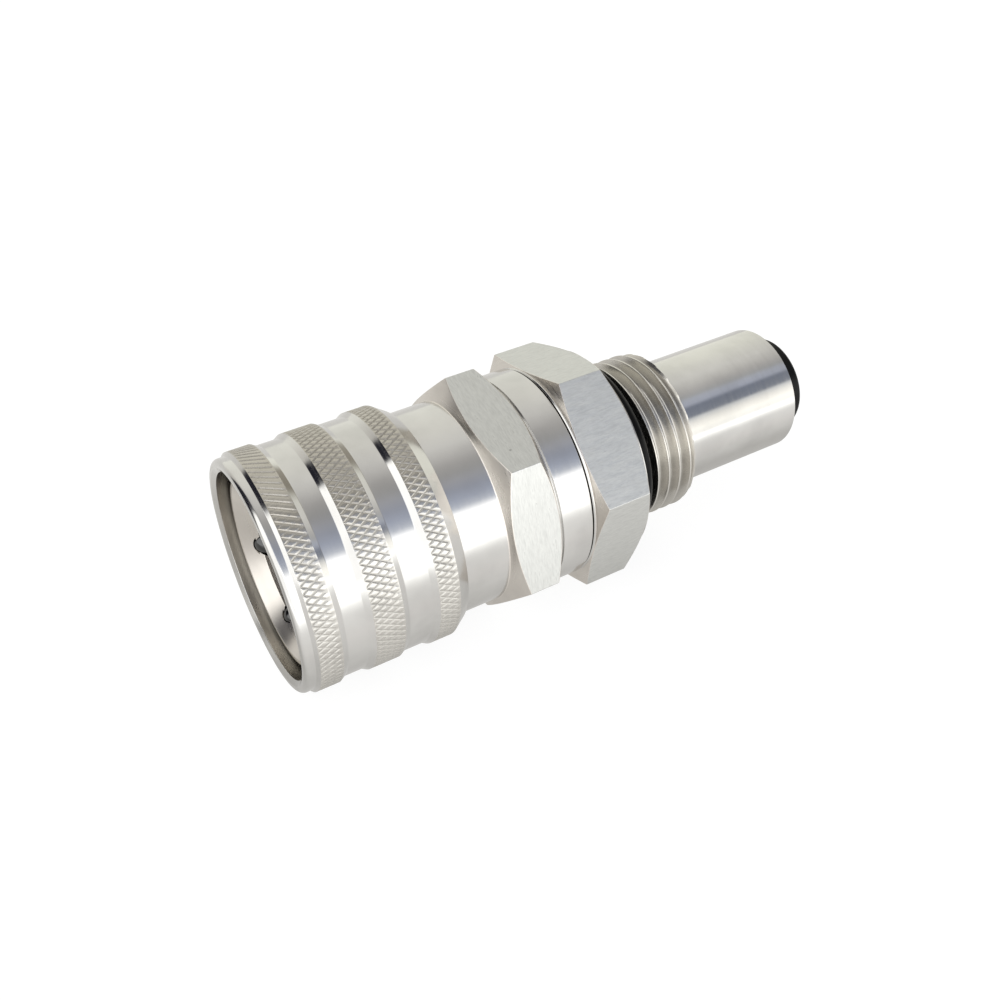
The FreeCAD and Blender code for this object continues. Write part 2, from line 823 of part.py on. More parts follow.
# Stations of the push-in end, from the tube's end inwards
retainer_start = tube_end - size.retainer_length
collet_back = retainer_start - size.collet_head_length
grip_start = collet_back + size.grip_station
collet_tip = tube_end + size.collet_proud
seal_width = size.line_seal_section * 2 + size.seal_slack
washer_start = collet_back - size.collet_travel - size.collet_stop_gap - size.washer_width
outer_seal_start = washer_start - seal_width
spacer_start = outer_seal_start - size.seal_spacer_width
seal_cavity = spacer_start - seal_width
tube_stop = seal_cavity - size.stop_length


def make_rear_adapter():
    body = turned(
        "rear_adapter",
        [
            (spigot_front, size.funnel_radius),
            (spigot_front, size.spigot_radius - size.spigot_chamfer),
            (spigot_front + size.spigot_chamfer, size.spigot_radius),
            (spigot_groove, size.spigot_radius),
            (spigot_groove, spigot_groove_floor),
            (spigot_groove_end, spigot_groove_floor),
            (spigot_groove_end, size.spigot_radius),
            (adapter_front, size.spigot_radius),
            (adapter_front, size.shank_radius - size.shank_edge),
            (adapter_front + size.shank_edge, size.shank_radius),
            (adapter_hex_front, size.shank_radius),
            (adapter_hex_corner, corner_reach),
            (adapter_hex_corner_end, corner_reach),
            (adapter_hex_end, size.hex_land),
            (port_face, size.hex_land),
            (port_face, size.undercut_radius),
            (thread_start, size.undercut_radius),
            (thread_start, size.thread_minor_radius),
            (thread_end, size.thread_minor_radius),
            (thread_end, size.tube_radius),
            (tube_end, size.tube_radius),
            (tube_end, size.collet_chamber_radius),
            (washer_start, size.collet_chamber_radius),
            (washer_start, size.seal_cavity_radius),
            (seal_cavity, size.seal_cavity_radius),
            (seal_cavity, size.line_bore_radius + size.stop_gap),
            (tube_stop, size.line_bore_radius + size.stop_gap),
            (tube_stop, size.waterway_radius),
            (spigot_front + size.funnel_length, size.waterway_radius),
        ],
    )
    mill_hexagon(body, "adapter_flats", size.adapter_hex_turn)
    cut_thread(body)
    return body


def cut_thread(body):
    """A right-hand pipe thread: one helical ridge, then both ends bevelled by the lathe."""
    root = size.thread_minor_radius - TRIM
    flank = (size.thread_major_radius - root) * tangent(size.thread_flank_angle)
    first_crest = thread_start + size.thread_first_crest - size.thread_pitch
    crest_front = first_crest - size.thread_crest / 2
    crest_rear = first_crest + size.thread_crest / 2
    sketch = new_sketch(body, "thread_ridge_section", "XZ_Plane")
    draw_outline(
        sketch,
        [
            (crest_front - flank, root),
            (crest_front, size.thread_major_radius),
            (crest_rear, size.thread_major_radius),
            (crest_rear + flank, root),
        ],
    )
    ridge = body.newObject("PartDesign::AdditiveHelix", "thread_ridge")
    ridge.Profile = sketch
    ridge.ReferenceAxis = (sketch, ["H_Axis"])
    ridge.Mode = "pitch-height-angle"
    bind(ridge, "Pitch", size.thread_pitch)
    bind(ridge, "Height", size.thread_length + size.thread_pitch * 2)
    doc.recompute()

    just_past = size.thread_major_radius + TRIM
    outside = size.thread_major_radius + CUT_MARGIN
    front_bevel_end = thread_start + (just_past - size.undercut_radius)
    rear_bevel_start = thread_end - (just_past - size.thread_minor_radius)
    last_turn_end = thread_end + size.thread_pitch * 3
    bevel = new_sketch(body, "thread_bevel_section", "XZ_Plane")
    draw_outline(
        bevel,
        [
            (port_face + TRIM, size.undercut_radius),
            (thread_start, size.undercut_radius),
            (front_bevel_end, just_past),
            (front_bevel_end, outside),
            (port_face + TRIM, outside),
        ],
    )
    draw_outline(
        bevel,
        [
            (thread_end, size.tube_radius),
            (thread_end, size.thread_minor_radius),
            (rear_bevel_start, just_past),
            (rear_bevel_start, outside),
            (last_turn_end, outside),
            (last_turn_end, size.tube_radius),
        ],
    )
    before = body.Shape.Volume
    cut = body.newObject("PartDesign::Groove", "thread_bevels")
    cut.Profile = bevel
    cut.ReferenceAxis = (bevel, ["H_Axis"])
    cut.Angle = 360
    must_remove(body, before, "thread_bevels")


def make_adapter_seals():
    half_slack = size.seal_slack / 2
    o_ring(
        "adapter_seal",
        (spigot_groove + spigot_groove_end) / 2,
        spigot_seal_radius,
        size.spigot_seal_section,
    )
    o_ring(
        "port_o_ring",
        port_face + half_slack + size.port_seal_section,
        size.undercut_radius + half_slack + size.port_seal_section,
        size.port_seal_section,
    )
    for label, start in (("tube_seal_inner", seal_cavity), ("tube_seal_outer", outer_seal_start)):
        o_ring(label, start + seal_width / 2, size.line_seal_radius, size.line_seal_section)


def plain_ring(label, start, width, inner, outer):
    end = start + width
    return turned(label, [(start, inner), (start, outer), (end, outer), (end, inner)])


def make_tube_rings():
    bore = size.line_bore_radius + size.washer_bore_gap
    plain_ring(
        "seal_spacer",
        spacer_start,
        size.seal_spacer_width,
        bore,
        size.seal_cavity_radius - size.seal_spacer_gap,
    )
    plain_ring(
        "seal_backup_ring",
        washer_start,
        size.washer_width,
        bore,
        size.collet_chamber_radius - size.chamber_fit,
    )


def make_collet_retainer():
    bore = size.collet_radius + size.collet_gap
    return turned(
        "collet_retainer",
        [
            (retainer_start, bore + size.retainer_wall_cone),
            (retainer_start, size.collet_chamber_radius - size.chamber_fit),
            (tube_end, size.collet_chamber_radius - size.chamber_fit),
            (tube_end, bore + size.retainer_entry),
            (tube_end - size.retainer_entry, bore),
            (retainer_start + size.retainer_cone, bore),
        ],
    )


def make_collet():
    head_radius = size.collet_radius + size.retainer_wall_cone
    groove_floor = size.grip_outer_radius + size.grip_side_gap
    groove_end = grip_start + size.grip_width
    collet = turned(
        "collet",
        [
            (collet_back, size.line_bore_radius),
            (collet_back, head_radius),
            (retainer_start, head_radius),
            (retainer_start + size.retainer_cone, size.collet_radius),
            (collet_tip - size.collet_tip_round, size.collet_radius),
            (collet_tip, size.collet_radius - size.collet_tip_round),
            (collet_tip, size.line_bore_radius + size.collet_lead),
            (collet_tip - size.collet_lead, size.line_bore_radius),
            (groove_end, size.line_bore_radius),
            (groove_end, groove_floor),
            (grip_start, groove_floor),
            (grip_start, size.line_bore_radius),
        ],
        arcs={4: (size.collet_tip_round, -1)},
    )
    sketch = new_sketch(collet, "collet_slot_section", "XY_Plane")
    half = size.collet_slot_width / 2
    slot_start = collet_back - CUT_MARGIN
    slot_end = collet_back + size.collet_slot_length
    draw_outline(
        sketch, [(slot_start, -half), (slot_end, -half), (slot_end, half), (slot_start, half)]
    )
    slot = cut_across(collet, "collet_slot", sketch, size.tube_radius, reverse=True)
    repeat_round(collet, "collet_slots", slot, COLLET_SLOTS)


def make_grip_ring():
    inner = size.line_bore_radius + size.grip_inner_gap
    ring = plain_ring(
        "grip_ring",
        grip_start + size.grip_side_gap,
        size.grip_width - size.grip_side_gap * 2,
        inner,
        size.grip_outer_radius,
    )
    sketch = new_sketch(ring, "grip_slot_section", "YZ_Plane")
    half = size.grip_slot_width / 2
    slot_start = inner - CUT_MARGIN
    slot_end = inner + size.grip_tooth_length
    draw_outline(
        sketch, [(-half, slot_start), (half, slot_start), (half, slot_end), (-half, slot_end)]
    )
    slot = cut_across(ring, "grip_slot", sketch, THROUGH_LENGTH, both_ways=True)
    repeat_round(ring, "grip_slots", slot, GRIP_SLOTS)


def check_and_write():
    doc.recompute()
    for thing in doc.Objects:
        if "Invalid" in thing.State or "Error" in thing.State:
            raise RuntimeError(f"{thing.Label} failed: {thing.State}")
    labels = [piece.Label for piece in pieces]
    if len(set(labels)) != len(labels):
        raise RuntimeError("two pieces share a label")
    for piece in pieces:
        if piece.Shape.isNull() or not piece.Shape.isValid():
            raise RuntimeError(f"{piece.Label} has no valid shape")
    os.makedirs("parts", exist_ok=True)
    for piece in pieces:
        piece.Shape.exportStep(f"parts/{piece.Label}.step")


make_socket_body()
make_sleeve()
make_retaining_ring()
make_sleeve_spring()
make_balls()
make_plug_seal()
make_valve()
make_valve_guide()
make_rear_adapter()
make_adapter_seals()
make_tube_rings()
make_collet_retainer()
make_collet()
make_grip_ring()
check_and_write()
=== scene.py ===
"""The looks of a beer line connector: a ball-lock socket, its adapter and its push-in tail.

The solids come from the frame. Every length here is in millimetres and becomes metres only
where a mesh is made. A station is a distance along the axis from the face of the nose.
"""

import math

import bmesh
import bpy
import numpy as np
from bpy.props import FloatProperty, FloatVectorProperty, IntProperty, PointerProperty
from mathutils import Matrix, Vector


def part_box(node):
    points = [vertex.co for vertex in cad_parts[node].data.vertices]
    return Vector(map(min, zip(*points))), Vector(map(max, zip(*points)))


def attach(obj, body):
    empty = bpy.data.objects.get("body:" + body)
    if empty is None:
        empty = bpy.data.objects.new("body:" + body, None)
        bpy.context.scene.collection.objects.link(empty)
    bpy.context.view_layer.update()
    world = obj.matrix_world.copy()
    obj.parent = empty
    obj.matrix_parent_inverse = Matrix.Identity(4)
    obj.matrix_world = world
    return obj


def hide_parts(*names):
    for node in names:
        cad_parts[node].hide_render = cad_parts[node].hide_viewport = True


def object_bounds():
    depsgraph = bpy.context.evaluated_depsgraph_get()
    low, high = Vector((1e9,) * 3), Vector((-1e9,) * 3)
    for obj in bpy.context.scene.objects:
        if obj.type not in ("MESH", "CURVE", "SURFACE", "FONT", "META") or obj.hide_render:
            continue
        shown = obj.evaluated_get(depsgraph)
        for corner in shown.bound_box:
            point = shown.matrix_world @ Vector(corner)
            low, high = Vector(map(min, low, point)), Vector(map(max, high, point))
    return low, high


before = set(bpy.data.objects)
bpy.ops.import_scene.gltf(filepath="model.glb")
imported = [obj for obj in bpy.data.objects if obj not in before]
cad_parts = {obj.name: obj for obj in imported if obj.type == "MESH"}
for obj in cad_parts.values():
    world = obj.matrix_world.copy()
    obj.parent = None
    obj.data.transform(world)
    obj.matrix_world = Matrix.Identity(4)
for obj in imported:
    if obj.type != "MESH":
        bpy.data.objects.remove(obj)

bl_info = {
    "name": "Beer Line Connector",
    "version": (1, 0, 0),
    "blender": (4, 5, 0),
    "location": "View3D > Sidebar > Connector",
    "description": "Dresses the packed solids of a ball-lock beer line connector",
    "category": "Object",
}

MM = 0.001
CAD_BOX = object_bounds()

# Stations and radii that the frame gives
NOSE_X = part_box("socket_body")[0][0] / MM


def station_of(x):
    return x / MM - NOSE_X


def front_of(node):
    return station_of(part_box(node)[0][0])


def rear_of(node):
    return station_of(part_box(node)[1][0])


SLEEVE_FRONT = front_of("locking_sleeve")
SLEEVE_REAR = rear_of("locking_sleeve")
BAND_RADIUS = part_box("locking_sleeve")[1][2] / MM
BODY_END = rear_of("socket_body")
ADAPTER_START = front_of("rear_adapter")
TUBE_END = rear_of("rear_adapter")

# How far corners are broken, EDGE where nothing else is said
EDGE = 0.07
CRISP = 0.03
KEEN = 0.04
FINE = 0.05
SOFT = 0.08
BROAD = 0.1

# Turned normals that lean sideways by less than this lose the lean
SMALL_LEAN = 0.02
# Vertices that lie nearer than this are joined
MERGE = 0.0002
THREAD_MERGE = 0.0005
PLUG_MERGE = 0.001
# Edges that turn by more than this, in degrees, stay sharp
SHARP = 38
SLEEVE_SHARP = 24
# Columns round a large piece, and those beside a hexagon's corner, in degrees from it
COLUMNS = 288
CORNER_COLUMNS = (-0.28, -0.14, 0.14, 0.28)

# Hexagons, whose lengths are those of the front bevel, the flats and the rear bevel
ACROSS_FLATS = 30.0
HEX_REACH = 17.35
HEX_LAND = 14.95
HEX_EDGE = 0.07
HEX_CORNER_ROUND = 0.16
BODY_HEX = (1.55, 4.14, 1.51)
BODY_HEX_TURN = 45
ADAPTER_HEX = (0.65, 6.25, 1.35)
ADAPTER_HEX_TURN = 75

# Locking sleeve
RIM_ROUND = 0.7
RIM_LIP = 0.65
RIM_LIP_LENGTH = 0.45
KNURL_HEIGHT = 0.45
COLLAR_LENGTH = 1.39
FRONT_BEVEL = 0.42
GROOVE_BEVEL = 0.79
BAND_LENGTHS = (3.04, 3.98, 2.83)
GROOVE_LENGTHS = (2.7, 3.16)
SLEEVE_END_RADIUS = 14.9
SLEEVE_BORE = 14.2
SLEEVE_BORE_BEVEL = 0.2
RING_GROOVE_FLOOR = 14.9
RING_SIDE_GAP = 0.03
LAND_RADIUS = 12.95
LAND_FRONT = 3.1
LAND_REAR = 5.3
CAM_LENGTH = 1.0
RELIEF_RADIUS = 13.95
COLUMNS_PER_START = 6
KNURL_RUN_IN = 0.28
KNURL_RUN_OUT = 0.3
# How much of a groove's flank is curved, the rest being straight
KNURL_CURVED = 0.35
# The front band's first hand of grooves is faint round this turn from straight up
FAINT_HAND = 0.14
FAINT_TURN = -20
FAINT_FULL = 40
FAINT_END = 75

# Socket body
NOSE_RADIUS = 12.9
NOSE_CHAMFER = 0.4
MOUTH_RADIUS = 9.85
MOUTH_LEAD = 2.05
GUIDE_RADIUS = 9.65
GUIDE_START = 5.6
GUIDE_END = 9.6
SEAL_FLOOR = 11.45
SEAL_GROOVE_END = 12.2
PLUG_STOP = 13.4
THROAT_RADIUS = 7.2
THROAT_END = 15.0
CHAMBER_RADIUS = 9.4
CHAMBER_END = 30.0
BARREL_START = 14.31
BARREL_RADIUS = 14.1
RING_GROOVE_FRONT = 15.96
RING_GROOVE_REAR = 19.96
RING_GROOVE_RADIUS = 13.2
BODY_HEX_FRONT = 27.15
BODY_HEX_ROOT = 0.12
SHANK_GROOVE_GAP = 0.1
SHANK_GROOVE_WIDTH = 0.3
SHANK_GROOVE_RADIUS = 14.6
SHANK_RADIUS = 14.9
SHANK_EDGE = 0.15
SPIGOT_BORE_RADIUS = 11.6
SPIGOT_BORE_BEVEL = 0.4
BALL_COUNT = 6
BALL_STATION = 3.2
BALL_TURN = 10
BALL_HOLE_RADIUS = 1.98
BALL_HOLE_BOTTOM = 7.0
BALL_HOLE_TOP = 15.0
BALL_HOLE_COLUMNS = 64
BALL_LIP_RADIUS = 1.75
BALL_LIP_TOP = 10.18

# Rear adapter
SPIGOT_RADIUS = 11.5
SPIGOT_CHAMFER = 0.3
SPIGOT_GROOVE = 2.0
SPIGOT_GROOVE_WIDTH = 2.2
SPIGOT_GROOVE_RADIUS = 10.06
FUNNEL_RADIUS = 9.5
FUNNEL_LENGTH = 6.5
FUNNEL_ROUND = 0.2
WATERWAY_RADIUS = 3.8
JOINT_GAP = 0.15
ADAPTER_BOSS = 0.25
PORT_FACE_RISE = 0.15
UNDERCUT_RADIUS = 10.104
UNDERCUT_LENGTH = 2.9
TUBE_RADIUS = 9.1
COLLET_CHAMBER_RADIUS = 8.02
WASHER_START = 70.1
SEAL_CAVITY_RADIUS = 7.45
SEAL_CAVITY = 63.28
LINE_STOP_RADIUS = 4.9
LINE_STOP = 60.28

# Pipe thread
THREAD_MAJOR = 11.4555
THREAD_MINOR = 10.294
THREAD_PITCH = 1.814
THREAD_LENGTH = 7.8
THREAD_FIRST_CREST = 0.82
RINGS_PER_PITCH = 24
TURNS_AHEAD = 2
CREST_EDGE = 0.86
FLANK_HOLLOW = 1.7
FRONT_BEVEL_STEEPNESS = 1.8
REAR_BEVEL_STEEPNESS = 6
RUN_OUT = 0.95
RUN_OUT_STEEPNESS = 1.2

# The port's O-ring, seated
PORT_SEAL_SECTION = 1.38
PORT_SEAL_REACH = 12.78
PORT_SEAL_ROWS = 40
PORT_SEAL_COLUMNS = 180

# Kinds of face, each of them a place in its piece's list of steels
OPEN = -1
TURNED = 0
KNURLED, BORED = 1, 2
MILLED, BODY_SATIN = 1, 2
THREADED, TUBE, ADAPTER_SATIN = 2, 3, 4
SLEEVE_STEELS = ("steel_turned", "steel_knurled", "steel_inner_shaded")
BODY_STEELS = ("steel_turned", "steel_milled_across", "steel_satin_lit")
ADAPTER_STEELS = (
    "steel_turned", "steel_milled_along", "steel_thread", "steel_tube", "steel_satin_lit"
)


# Properties


def plain(name, default, description, **limits):
    return FloatProperty(name=name, description=description, default=default, **limits)


def length(name, default, description):
    return plain(name, default * MM, description, min=0, precision=5, unit="LENGTH")


def tint(name, default, description):
    return FloatVectorProperty(
        name=name, description=description, default=default, size=3, min=0, max=1, subtype="COLOR"
    )


class KnurlSettings(bpy.types.PropertyGroup):
    """The diamond knurl on the sleeve's three bands"""

    starts: IntProperty(
        name="Starts", description="Grooves of each hand round the sleeve", default=100, min=12
    )
    row_step: length("Row step", 0.292, "Axial spacing of the mesh rows that carry the grooves")
    depth: length("Groove depth", 0.105, "Depth of the grooves below the band")
    half_width: plain("Groove half width", 0.21, "As a share of the pitch", min=0.02)


class ThreadSettings(bpy.types.PropertyGroup):
    """The pipe thread on the rear adapter"""

    pitch: length("Pitch", THREAD_PITCH, "Distance from crest to crest")
    major_radius: length("Major radius", THREAD_MAJOR, "Radius over the crests")
    minor_radius: length("Minor radius", THREAD_MINOR, "Radius at the roots")


class FinishSettings(bpy.types.PropertyGroup):
    """Colours of the metal, rubber and plastic"""

    turned: tint("Turned steel", (0.62, 0.612, 0.595), "Steel left by the lathe")
    milled: tint("Milled steel", (0.62, 0.625, 0.605), "Steel of the hexagon flats")
    knurled: tint("Knurled steel", (0.6, 0.585, 0.55), "Steel of the knurled bands")
    thread: tint("Thread steel", (0.62, 0.6, 0.56), "Steel of the pipe thread")
    # Painted light: the satin steel is a lighter copy of the steel
    satin: tint("Satin steel", (0.74, 0.7, 0.65), "Steel of the bevels and the nose's mouth")
    # Painted shade: the balls get a near-black steel colour for the shade inside the mouth
    ball: tint("Ball steel", (0.1, 0.1, 0.1), "Hardened steel of the balls")
    # Painted shade: a darker copy of the steel for the sleeve's bore and the pieces inside
    inner: tint("Inner steel", (0.4, 0.375, 0.33), "Steel of the pieces inside")
    rubber: tint("Rubber", (0.003, 0.003, 0.003), "Seals")
    plastic: tint("Plastic", (0.004, 0.004, 0.004), "Collet and its washers")


class StageSettings(bpy.types.PropertyGroup):
    """Camera and light"""

    lens: plain("Lens", 40.2, "Focal length of the camera", unit="CAMERA")
    floor_size: plain("Floor", 4.0, "Side of the square floor", unit="LENGTH")
    floor_white: plain("Floor white", 0.87, "How white the floor reads by itself")


# Node trees drawn in Python


def operation(name):
    """A method that joins a wire and another value by a Math node."""
    return lambda wire, other: wire.maths(name, other)


class Wire:
    """A node's output, on which Python's arithmetic adds Math nodes."""

    def __init__(self, drawing, socket):
        self.drawing = drawing
        self.socket = socket

    def output(self, key):
        return Wire(self.drawing, pick(self.socket.node.outputs, key))

    def maths(self, kind, *others):
        return self.drawing.maths(kind, self, *others)

    def __rsub__(self, other):
        return self.drawing.maths("SUBTRACT", other, self)

    def from_whole(self):
        """Distance to the nearest whole number."""
        return self.maths("PINGPONG", 0.5)

    __add__ = __radd__ = operation("ADD")
    __sub__ = operation("SUBTRACT")
    __mul__ = operation("MULTIPLY")
    __truediv__ = operation("DIVIDE")
    __pow__ = operation("POWER")
    least = operation("MINIMUM")
    most = operation("MAXIMUM")


def pick(sockets, key):
    """A socket by its place, identifier or name."""
    if isinstance(key, int):
        return sockets[key]
    for field in ("identifier", "name"):
        for socket in sockets:
            if getattr(socket, field) == key and socket.enabled:
                return socket
    raise KeyError(f"no socket {key} among {[s.name for s in sockets]}")


class Drawing:
    """A shader, world or geometry tree that is being drawn."""

    def __init__(self, tree):
        self.tree = tree

    def node(self, kind, sockets=None, output=0, **settings):
        node = self.tree.nodes.new(kind)
        for name, value in settings.items():
            setattr(node, name, value)
        for key, value in (sockets or {}).items():
            socket = pick(node.inputs, key)
            if isinstance(value, Wire):
                self.tree.links.new(value.socket, socket)
            else:
                socket.default_value = value
        return Wire(self, pick(node.outputs, output)) if len(node.outputs) else None

    def maths(self, kind, *numbers):
        return self.node("ShaderNodeMath", dict(enumerate(numbers)), operation=kind)

    def step(self, value, low, high):
        """A smooth step of value from low to high."""
        sockets = {"Value": value, "From Min": low, "From Max": high}
        return self.node("ShaderNodeMapRange", sockets, interpolation_type="SMOOTHSTEP")

    def mix(self, share, first, second):
        """A colour between two colours."""
        sockets = {"Factor_Float": share, "A_Color": rgba(first), "B_Color": rgba(second)}
        return self.node("ShaderNodeMix", sockets, "Result_Color", data_type="RGBA")

    def noise(self, place, scale, detail=2.0, roughness=0.5):
        sockets = {"Vector": place, "Scale": scale, "Detail": detail, "Roughness": roughness}
        return self.node("ShaderNodeTexNoise", sockets)

    def line_noise(self, place, scale, detail=2.0):
        """Noise along one number."""
        sockets = {"W": place, "Scale": scale, "Detail": detail}
        return self.node("ShaderNodeTexNoise", sockets, noise_dimensions="1D")

    def bump(self, height, strength, distance=0.01):
        sockets = {"Strength": strength, "Distance": distance * MM, "Height": height}
        return self.node("ShaderNodeBump", sockets)

    def split(self, vector):
        """The three parts of a vector: along the axis, across it and up."""
        parts = self.node("ShaderNodeSeparateXYZ", {"Vector": vector})
        return [parts.output(part) for part in "XYZ"]

    def mark(self, name):
        """A number that the vertices of a mesh carry into a geometry tree."""
        kind = "GeometryNodeInputNamedAttribute"
        return self.node(kind, {"Name": name}, "Attribute", data_type="FLOAT")


def distance_over(first, second):
    """How far a point lies from where both of its numbers are nought, such as from the axis."""
    return (first * first + second * second) ** 0.5


def rgba(colour):
    if isinstance(colour, Wire) or len(colour) == 4:
        return colour
    return (*colour, 1.0)


def toned(colour, share):
    """A colour made darker or lighter."""
    return [min(1, part * share) for part in colour]


# Materials

# How much further the lathe's lines have run by each length that the radius grows
FACING = 1.3
# Painted light and shade: the knurl stays bright where it faces the front, and this tint paints shade
# on it elsewhere
PAINTED_SHADE_TINT = (0.8, 0.78, 0.745)
FLAT_MARK = (0.2, 0.19, 0.18)
CREST_SPOT = (0.2, 0.19, 0.17)
# Colour of the knurl's grooves: partly dirt, partly painted shade
GROOVE_DIRT_AND_SHADE = (0.2, 0.185, 0.16)


def new_material(name):
    """An empty material, its drawing and the place on the piece."""
    material = bpy.data.materials.new(name)
    material.use_nodes = True
    material.node_tree.nodes.clear()
    drawing = Drawing(material.node_tree)
    return material, drawing, drawing.node("ShaderNodeTexCoord", output="Object")


def turned_steel(drawing, place, colour, roughness, line_strength=0.12):
    """Bright steel with the fine rings that a lathe leaves."""
    along, across, up = drawing.split(place)
    sweep = along + distance_over(across, up) * FACING
    coarse = drawing.line_noise(sweep, 1700)
    smudge = drawing.noise(place, 160, 3)
    tone = drawing.mix(drawing.step(smudge, 0.35, 0.75), colour, toned(colour, 0.89))
    rough = roughness + (coarse - 0.5) * 0.12 + (smudge - 0.5) * 0.12
    bump = drawing.bump(drawing.line_noise(sweep, 9000, 1) * 0.5 + coarse, line_strength)
    return tone, rough, bump


def thread_steel(drawing, place, colour, roughness):
    """Steel of a cut thread: dull and brown in the roots, bright on the crests."""
    along, across, up = drawing.split(place)
    radius = distance_over(across, up)
    blotches = drawing.noise(place, 700)
    # Darker and browner towards the roots, in blotches
    root = drawing.mix(blotches, toned(colour, 0.62), toned(colour, 0.86))
    height = drawing.step(radius, (THREAD_MINOR + 0.1) * MM, (THREAD_MAJOR - 0.1) * MM)
    tone = drawing.mix(height, root, colour)
    bump = drawing.bump(drawing.line_noise(along + radius * FACING, 7000), 0.12)
    return tone, roughness + (blotches - 0.5) * 0.2, bump


def milled_steel(drawing, place, colour, stretch):
    """Hexagon flats with short fine strokes, longest where stretch is smallest, and tiny marks."""
    stretched = drawing.node("ShaderNodeMapping", {"Vector": place, "Scale": stretch})
    strokes = drawing.noise(stretched, 5200, 2, 0.7)
    streaks = drawing.noise(stretched, 2900)
    scratches = drawing.step(drawing.noise(stretched, 5200, 1), 0.69, 0.76)
    marks = drawing.step(drawing.noise(place, 900, 1), 0.78, 0.82)
    light = drawing.mix(strokes, toned(colour, 0.77), toned(colour, 1.23))
    scratched = drawing.mix(scratches * 0.4, light, toned(colour, 0.5))
    tone = drawing.mix(marks * 0.5, scratched, FLAT_MARK)
    bump = drawing.bump(strokes + streaks * 0.5, 0.25)
    return tone, 0.44 + (streaks - 0.5) * 0.2, bump


def knurled_steel(drawing, place, colour):
    """The knurl: bright diamonds, and grooves that stay darker, from dirt and painted shade, and
    duller. Painted light keeps the side that faces the front bright, and painted shade darkens the
    rest.
    """
    across, up = drawing.split(place)[1:]
    depth = drawing.node("ShaderNodeAttribute", output="Fac", attribute_name="knurl_cut")
    patch = drawing.noise(place, 300)
    # Painted light and shade: the colour is kept where the surface faces the front and darkened
    # elsewhere
    facing_front = drawing.step(across * -1 / distance_over(across, up), 0.5, 0.8)
    painted_shade = [part * share for part, share in zip(colour, PAINTED_SHADE_TINT)]
    lit_and_shaded = drawing.mix(facing_front, painted_shade, colour)
    crest = drawing.mix(drawing.step(patch, 0.3, 0.7) * 0.12, lit_and_shaded, CREST_SPOT)
    # The grooves darken with their depth, partly dirt and partly painted shade
    tone = drawing.mix(depth * depth * 0.35, crest, GROOVE_DIRT_AND_SHADE)
    rough = 0.25 + drawing.step(depth, 0.02, 0.4) * 0.25 + (patch - 0.5) * 0.12
    bump = drawing.bump(drawing.noise(place, 2600), 0.25, 0.02)
    return tone, rough, bump


def moulded(drawing, place, colour, roughness, worn_tone, wear_scale, skin, skin_bump):
    """Black rubber or plastic with a faint skin."""
    wear = drawing.noise(place, wear_scale)
    tone = drawing.mix(wear, colour, toned(colour, worn_tone))
    rough = roughness + (wear - 0.5) * 0.1
    bump = drawing.bump(drawing.noise(place, *skin), *skin_bump)
    return tone, rough, bump


METAL = {"Metallic": 1.0}
RUBBER_SHINE = {"Specular IOR Level": 0.08}
PLASTIC_SHINE = {"Specular IOR Level": 0.12}
# Worn tone, scale of the wear, noise of the skin and its bump
RUBBER = (1.8, 220, (1800, 3), (0.1, 0.02))
PLASTIC = (1.6, 260, (3200, 2), (0.08, 0.01))


def material_named(name):
    """One of the connector's materials, made when it is first asked for."""
    ready = bpy.data.materials.get(name)
    if ready:
        return ready
    colours = bpy.context.scene.connector_finish
    makers = {
        "steel_turned": (METAL, turned_steel, colours.turned, 0.14),
        "steel_tube": (METAL, turned_steel, colours.turned, 0.11, 0.05),
        # Painted light: a lighter copy of the steel for bevels and the mouth
        "steel_satin_lit": (METAL, turned_steel, colours.satin, 0.3, 0.1),
        # Painted shade: this and the spring and valve steels below use the darker inner colour
        "steel_inner_shaded": (METAL, turned_steel, colours.inner, 0.3, 0.15),
        # Painted shade: the balls are near black
        "steel_ball_shaded": (METAL, turned_steel, colours.ball, 0.12, 0.02),
        "steel_spring": (METAL, turned_steel, colours.inner, 0.25, 0.1),
        "steel_valve": (METAL, turned_steel, colours.inner, 0.22, 0.15),
        "steel_thread": (METAL, thread_steel, colours.thread, 0.24),
        "steel_milled_along": (METAL, milled_steel, colours.milled, (0.16, 1.0, 1.0)),
        "steel_milled_across": (METAL, milled_steel, colours.milled, (1.0, 0.16, 0.16)),
        "steel_knurled": (METAL, knurled_steel, colours.knurled),
        "rubber_seal": (RUBBER_SHINE, moulded, colours.rubber, 0.32, *RUBBER),
        "rubber_port": (RUBBER_SHINE, moulded, colours.rubber, 0.2, *RUBBER),
        "plastic_ring": (PLASTIC_SHINE, moulded, colours.plastic, 0.4, *PLASTIC),
        "plastic_collet": (PLASTIC_SHINE, moulded, colours.plastic, 0.22, *PLASTIC),
    }
    constants, maker, *settings = makers[name]
    material, drawing, place = new_material(name)
    tone, rough, bump = maker(drawing, place, *settings)
    sockets = {"Base Color": tone, "Roughness": rough, "Normal": bump, **constants}
    shader = drawing.node("ShaderNodeBsdfPrincipled", sockets)
    drawing.node("ShaderNodeOutputMaterial", {"Surface": shader})
    return material


# Turned meshes


